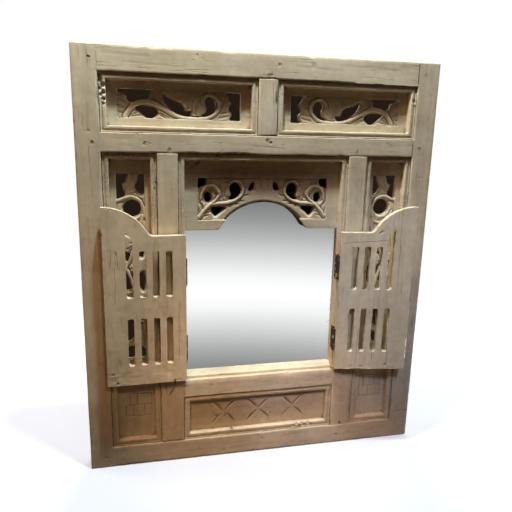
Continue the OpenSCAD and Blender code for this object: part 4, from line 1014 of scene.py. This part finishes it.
def wallSurface(tree):
    # painted shade: a dark glow from the front, and clear from behind
    back = add(tree, "NewGeometry").outputs["Backfacing"]
    return blend(tree, back, shine(tree, "Emission", roomLook["wall"]), add(tree, "BsdfTransparent").outputs[0])


def makeSheet(name, matrix, surface):
    # a square of one metre, moved and stretched by the matrix
    bm = bmesh.new()
    bmesh.ops.create_grid(bm, x_segments=2, y_segments=2, size=0.5, matrix=matrix)
    sheet = stand(name, meshOf(name, bm))
    material = bpy.data.materials.new(name)
    material.use_nodes = True
    tree = material.node_tree
    tree.nodes.clear()
    add(tree, "OutputMaterial", {"Surface": surface(tree)})
    sheet.data.materials.append(material)
    return sheet


makeSheet("paleFloor", Matrix.Translation((0, 0, cadBox[0].z - 0.3 * mm)) @ Matrix.Scale(roomLook["floorSize"], 4),
          floorSurface)
# a dark sheet close behind the frame, seen only through the pierced panels: painted shade in their holes, casting no
# shadow
upright = Matrix.Rotation(math.radians(90), 4, "X") @ Matrix.Diagonal((*roomLook["wallSize"], 1, 1))
wall = makeSheet("wallBehind", Matrix.Translation((0, roomLook["wallGap"], 0)) @ upright, wallSurface)
wall.visible_shadow = False

lampLook = {   # place, aim, size, power, colour, and the cone of a spot in degrees
    "ceilingLamp": ((-0.125, -0.30, 1.40), (-0.02, -0.06, 0), 0.10, 26.4, (0.78, 0.94, 1.0), 0),
    "leftFill": ((-1.25, -0.5, 2.0), (0, 0, 0.1), 0.6, 20.0, (1.0, 0.47, 0.19), 0),
    "rightFill": ((1.3, -0.6, 2.0), (0, 0, 0.1), 0.6, 12.4, (0.84, 0.85, 1.0), 0),
    "warmPool": ((-0.50, -1.05, 0.95), (0.03, -0.055, -0.46), 0.06, 42.0, (1.0, 0.60, 0.34), 23),
    "coolPool": ((0.02, -1.25, 0.85), (0.30, -0.055, -0.25), 0.06, 32.0, (0.61, 0.70, 1.0), 29),
    "leftPool": ((0.02, -1.25, 0.85), (-0.26, -0.055, -0.09), 0.06, 12.0, (1.0, 0.78, 0.54), 20),
    "backFill": ((0.5, 2.2, 1.2), (0, 0, 0), 1.2, 70.0, (1.0, 0.97, 0.92), 0),
    # both stand behind the front, so they light only the outer sides
    "leftSide": ((-1.7, 0.55, 0.5), (-0.4, -0.03, 0), 0.8, 17.0, (0.80, 0.92, 1.0), 0),
    "rightSide": ((1.7, 0.55, 0.5), (0.4, -0.03, 0), 0.8, 17.0, (1.0, 0.96, 0.9), 0)}

glossyLamps = ("ceilingLamp", "backFill", "leftSide", "rightSide")      # those that metal and glass may show

for name, (spot, aim, size, power, colour, cone) in lampLook.items():
    data = bpy.data.lights.new(name, "SPOT" if cone else "AREA")
    if cone:
        data.spot_size, data.spot_blend, data.shadow_soft_size = math.radians(cone), 0.7, size
    else:
        data.shape, data.size = "DISK", size
    data.energy, data.color = power, colour
    lamp = stand(name, data)
    lamp.location = spot
    lamp.rotation_euler = (Vector(aim) - Vector(spot)).to_track_quat("-Z", "Y").to_euler()
    lamp.visible_glossy, lamp.visible_camera = name in glossyLamps, False


def makeWorld():
    # white behind the object; the mirror sees a soft room whose light band lies below eye level
    scene.world = bpy.data.worlds.new("softRoom")
    scene.world.use_nodes = True
    tree = scene.world.node_tree
    tree.nodes.clear()
    up, low = splitUp(tree, add(tree, "TexCoord").outputs["Generated"])["Z"], roomLook["bandFrom"]
    height = add(tree, "MapRange", {"Value": up, "From Min": low, "From Max": 0.0}).outputs[0]
    strip = add(tree, "ValToRGB", {0: height})
    marks = strip.color_ramp.elements
    marks[0].position, marks[1].position = 0.0, 1.0
    marks[0].color = marks[1].color = roomLook["room"]
    for level, bright in roomLook["bands"]:
        marks.new((level - low) / -low).color = (bright, bright, bright, 1)
    path = add(tree, "LightPath").outputs
    soft = shine(tree, "Background", roomLook["soft"], roomLook["softLevel"])
    first = blend(tree, path["Is Glossy Ray"], soft, shine(tree, "Background", strip.outputs[0]))
    seen = plus(tree, path["Is Camera Ray"], path["Is Transmission Ray"], True)
    add(tree, "OutputWorld", {"Surface": blend(tree, seen, first, shine(tree, "Background", roomLook["white"]))})


makeWorld()

cameraLook = {"lens": 36.443, "sensor": 36, "clip": (0.05, 60), "place": (-0.2773, -1.1755, 0.2948),
              "turn": (77.115, -1.336, -12.668)}       # found from the straight edges in the photograph
camera = stand("camera", bpy.data.cameras.new("camera"))
camera.data.lens, camera.data.sensor_width = cameraLook["lens"], cameraLook["sensor"]
camera.data.clip_start, camera.data.clip_end = cameraLook["clip"]
camera.location = cameraLook["place"]
camera.rotation_euler = tuple(math.radians(a) for a in cameraLook["turn"])
scene.camera = camera
scene.view_settings.view_transform = "Standard"
print("room, lights and camera set")
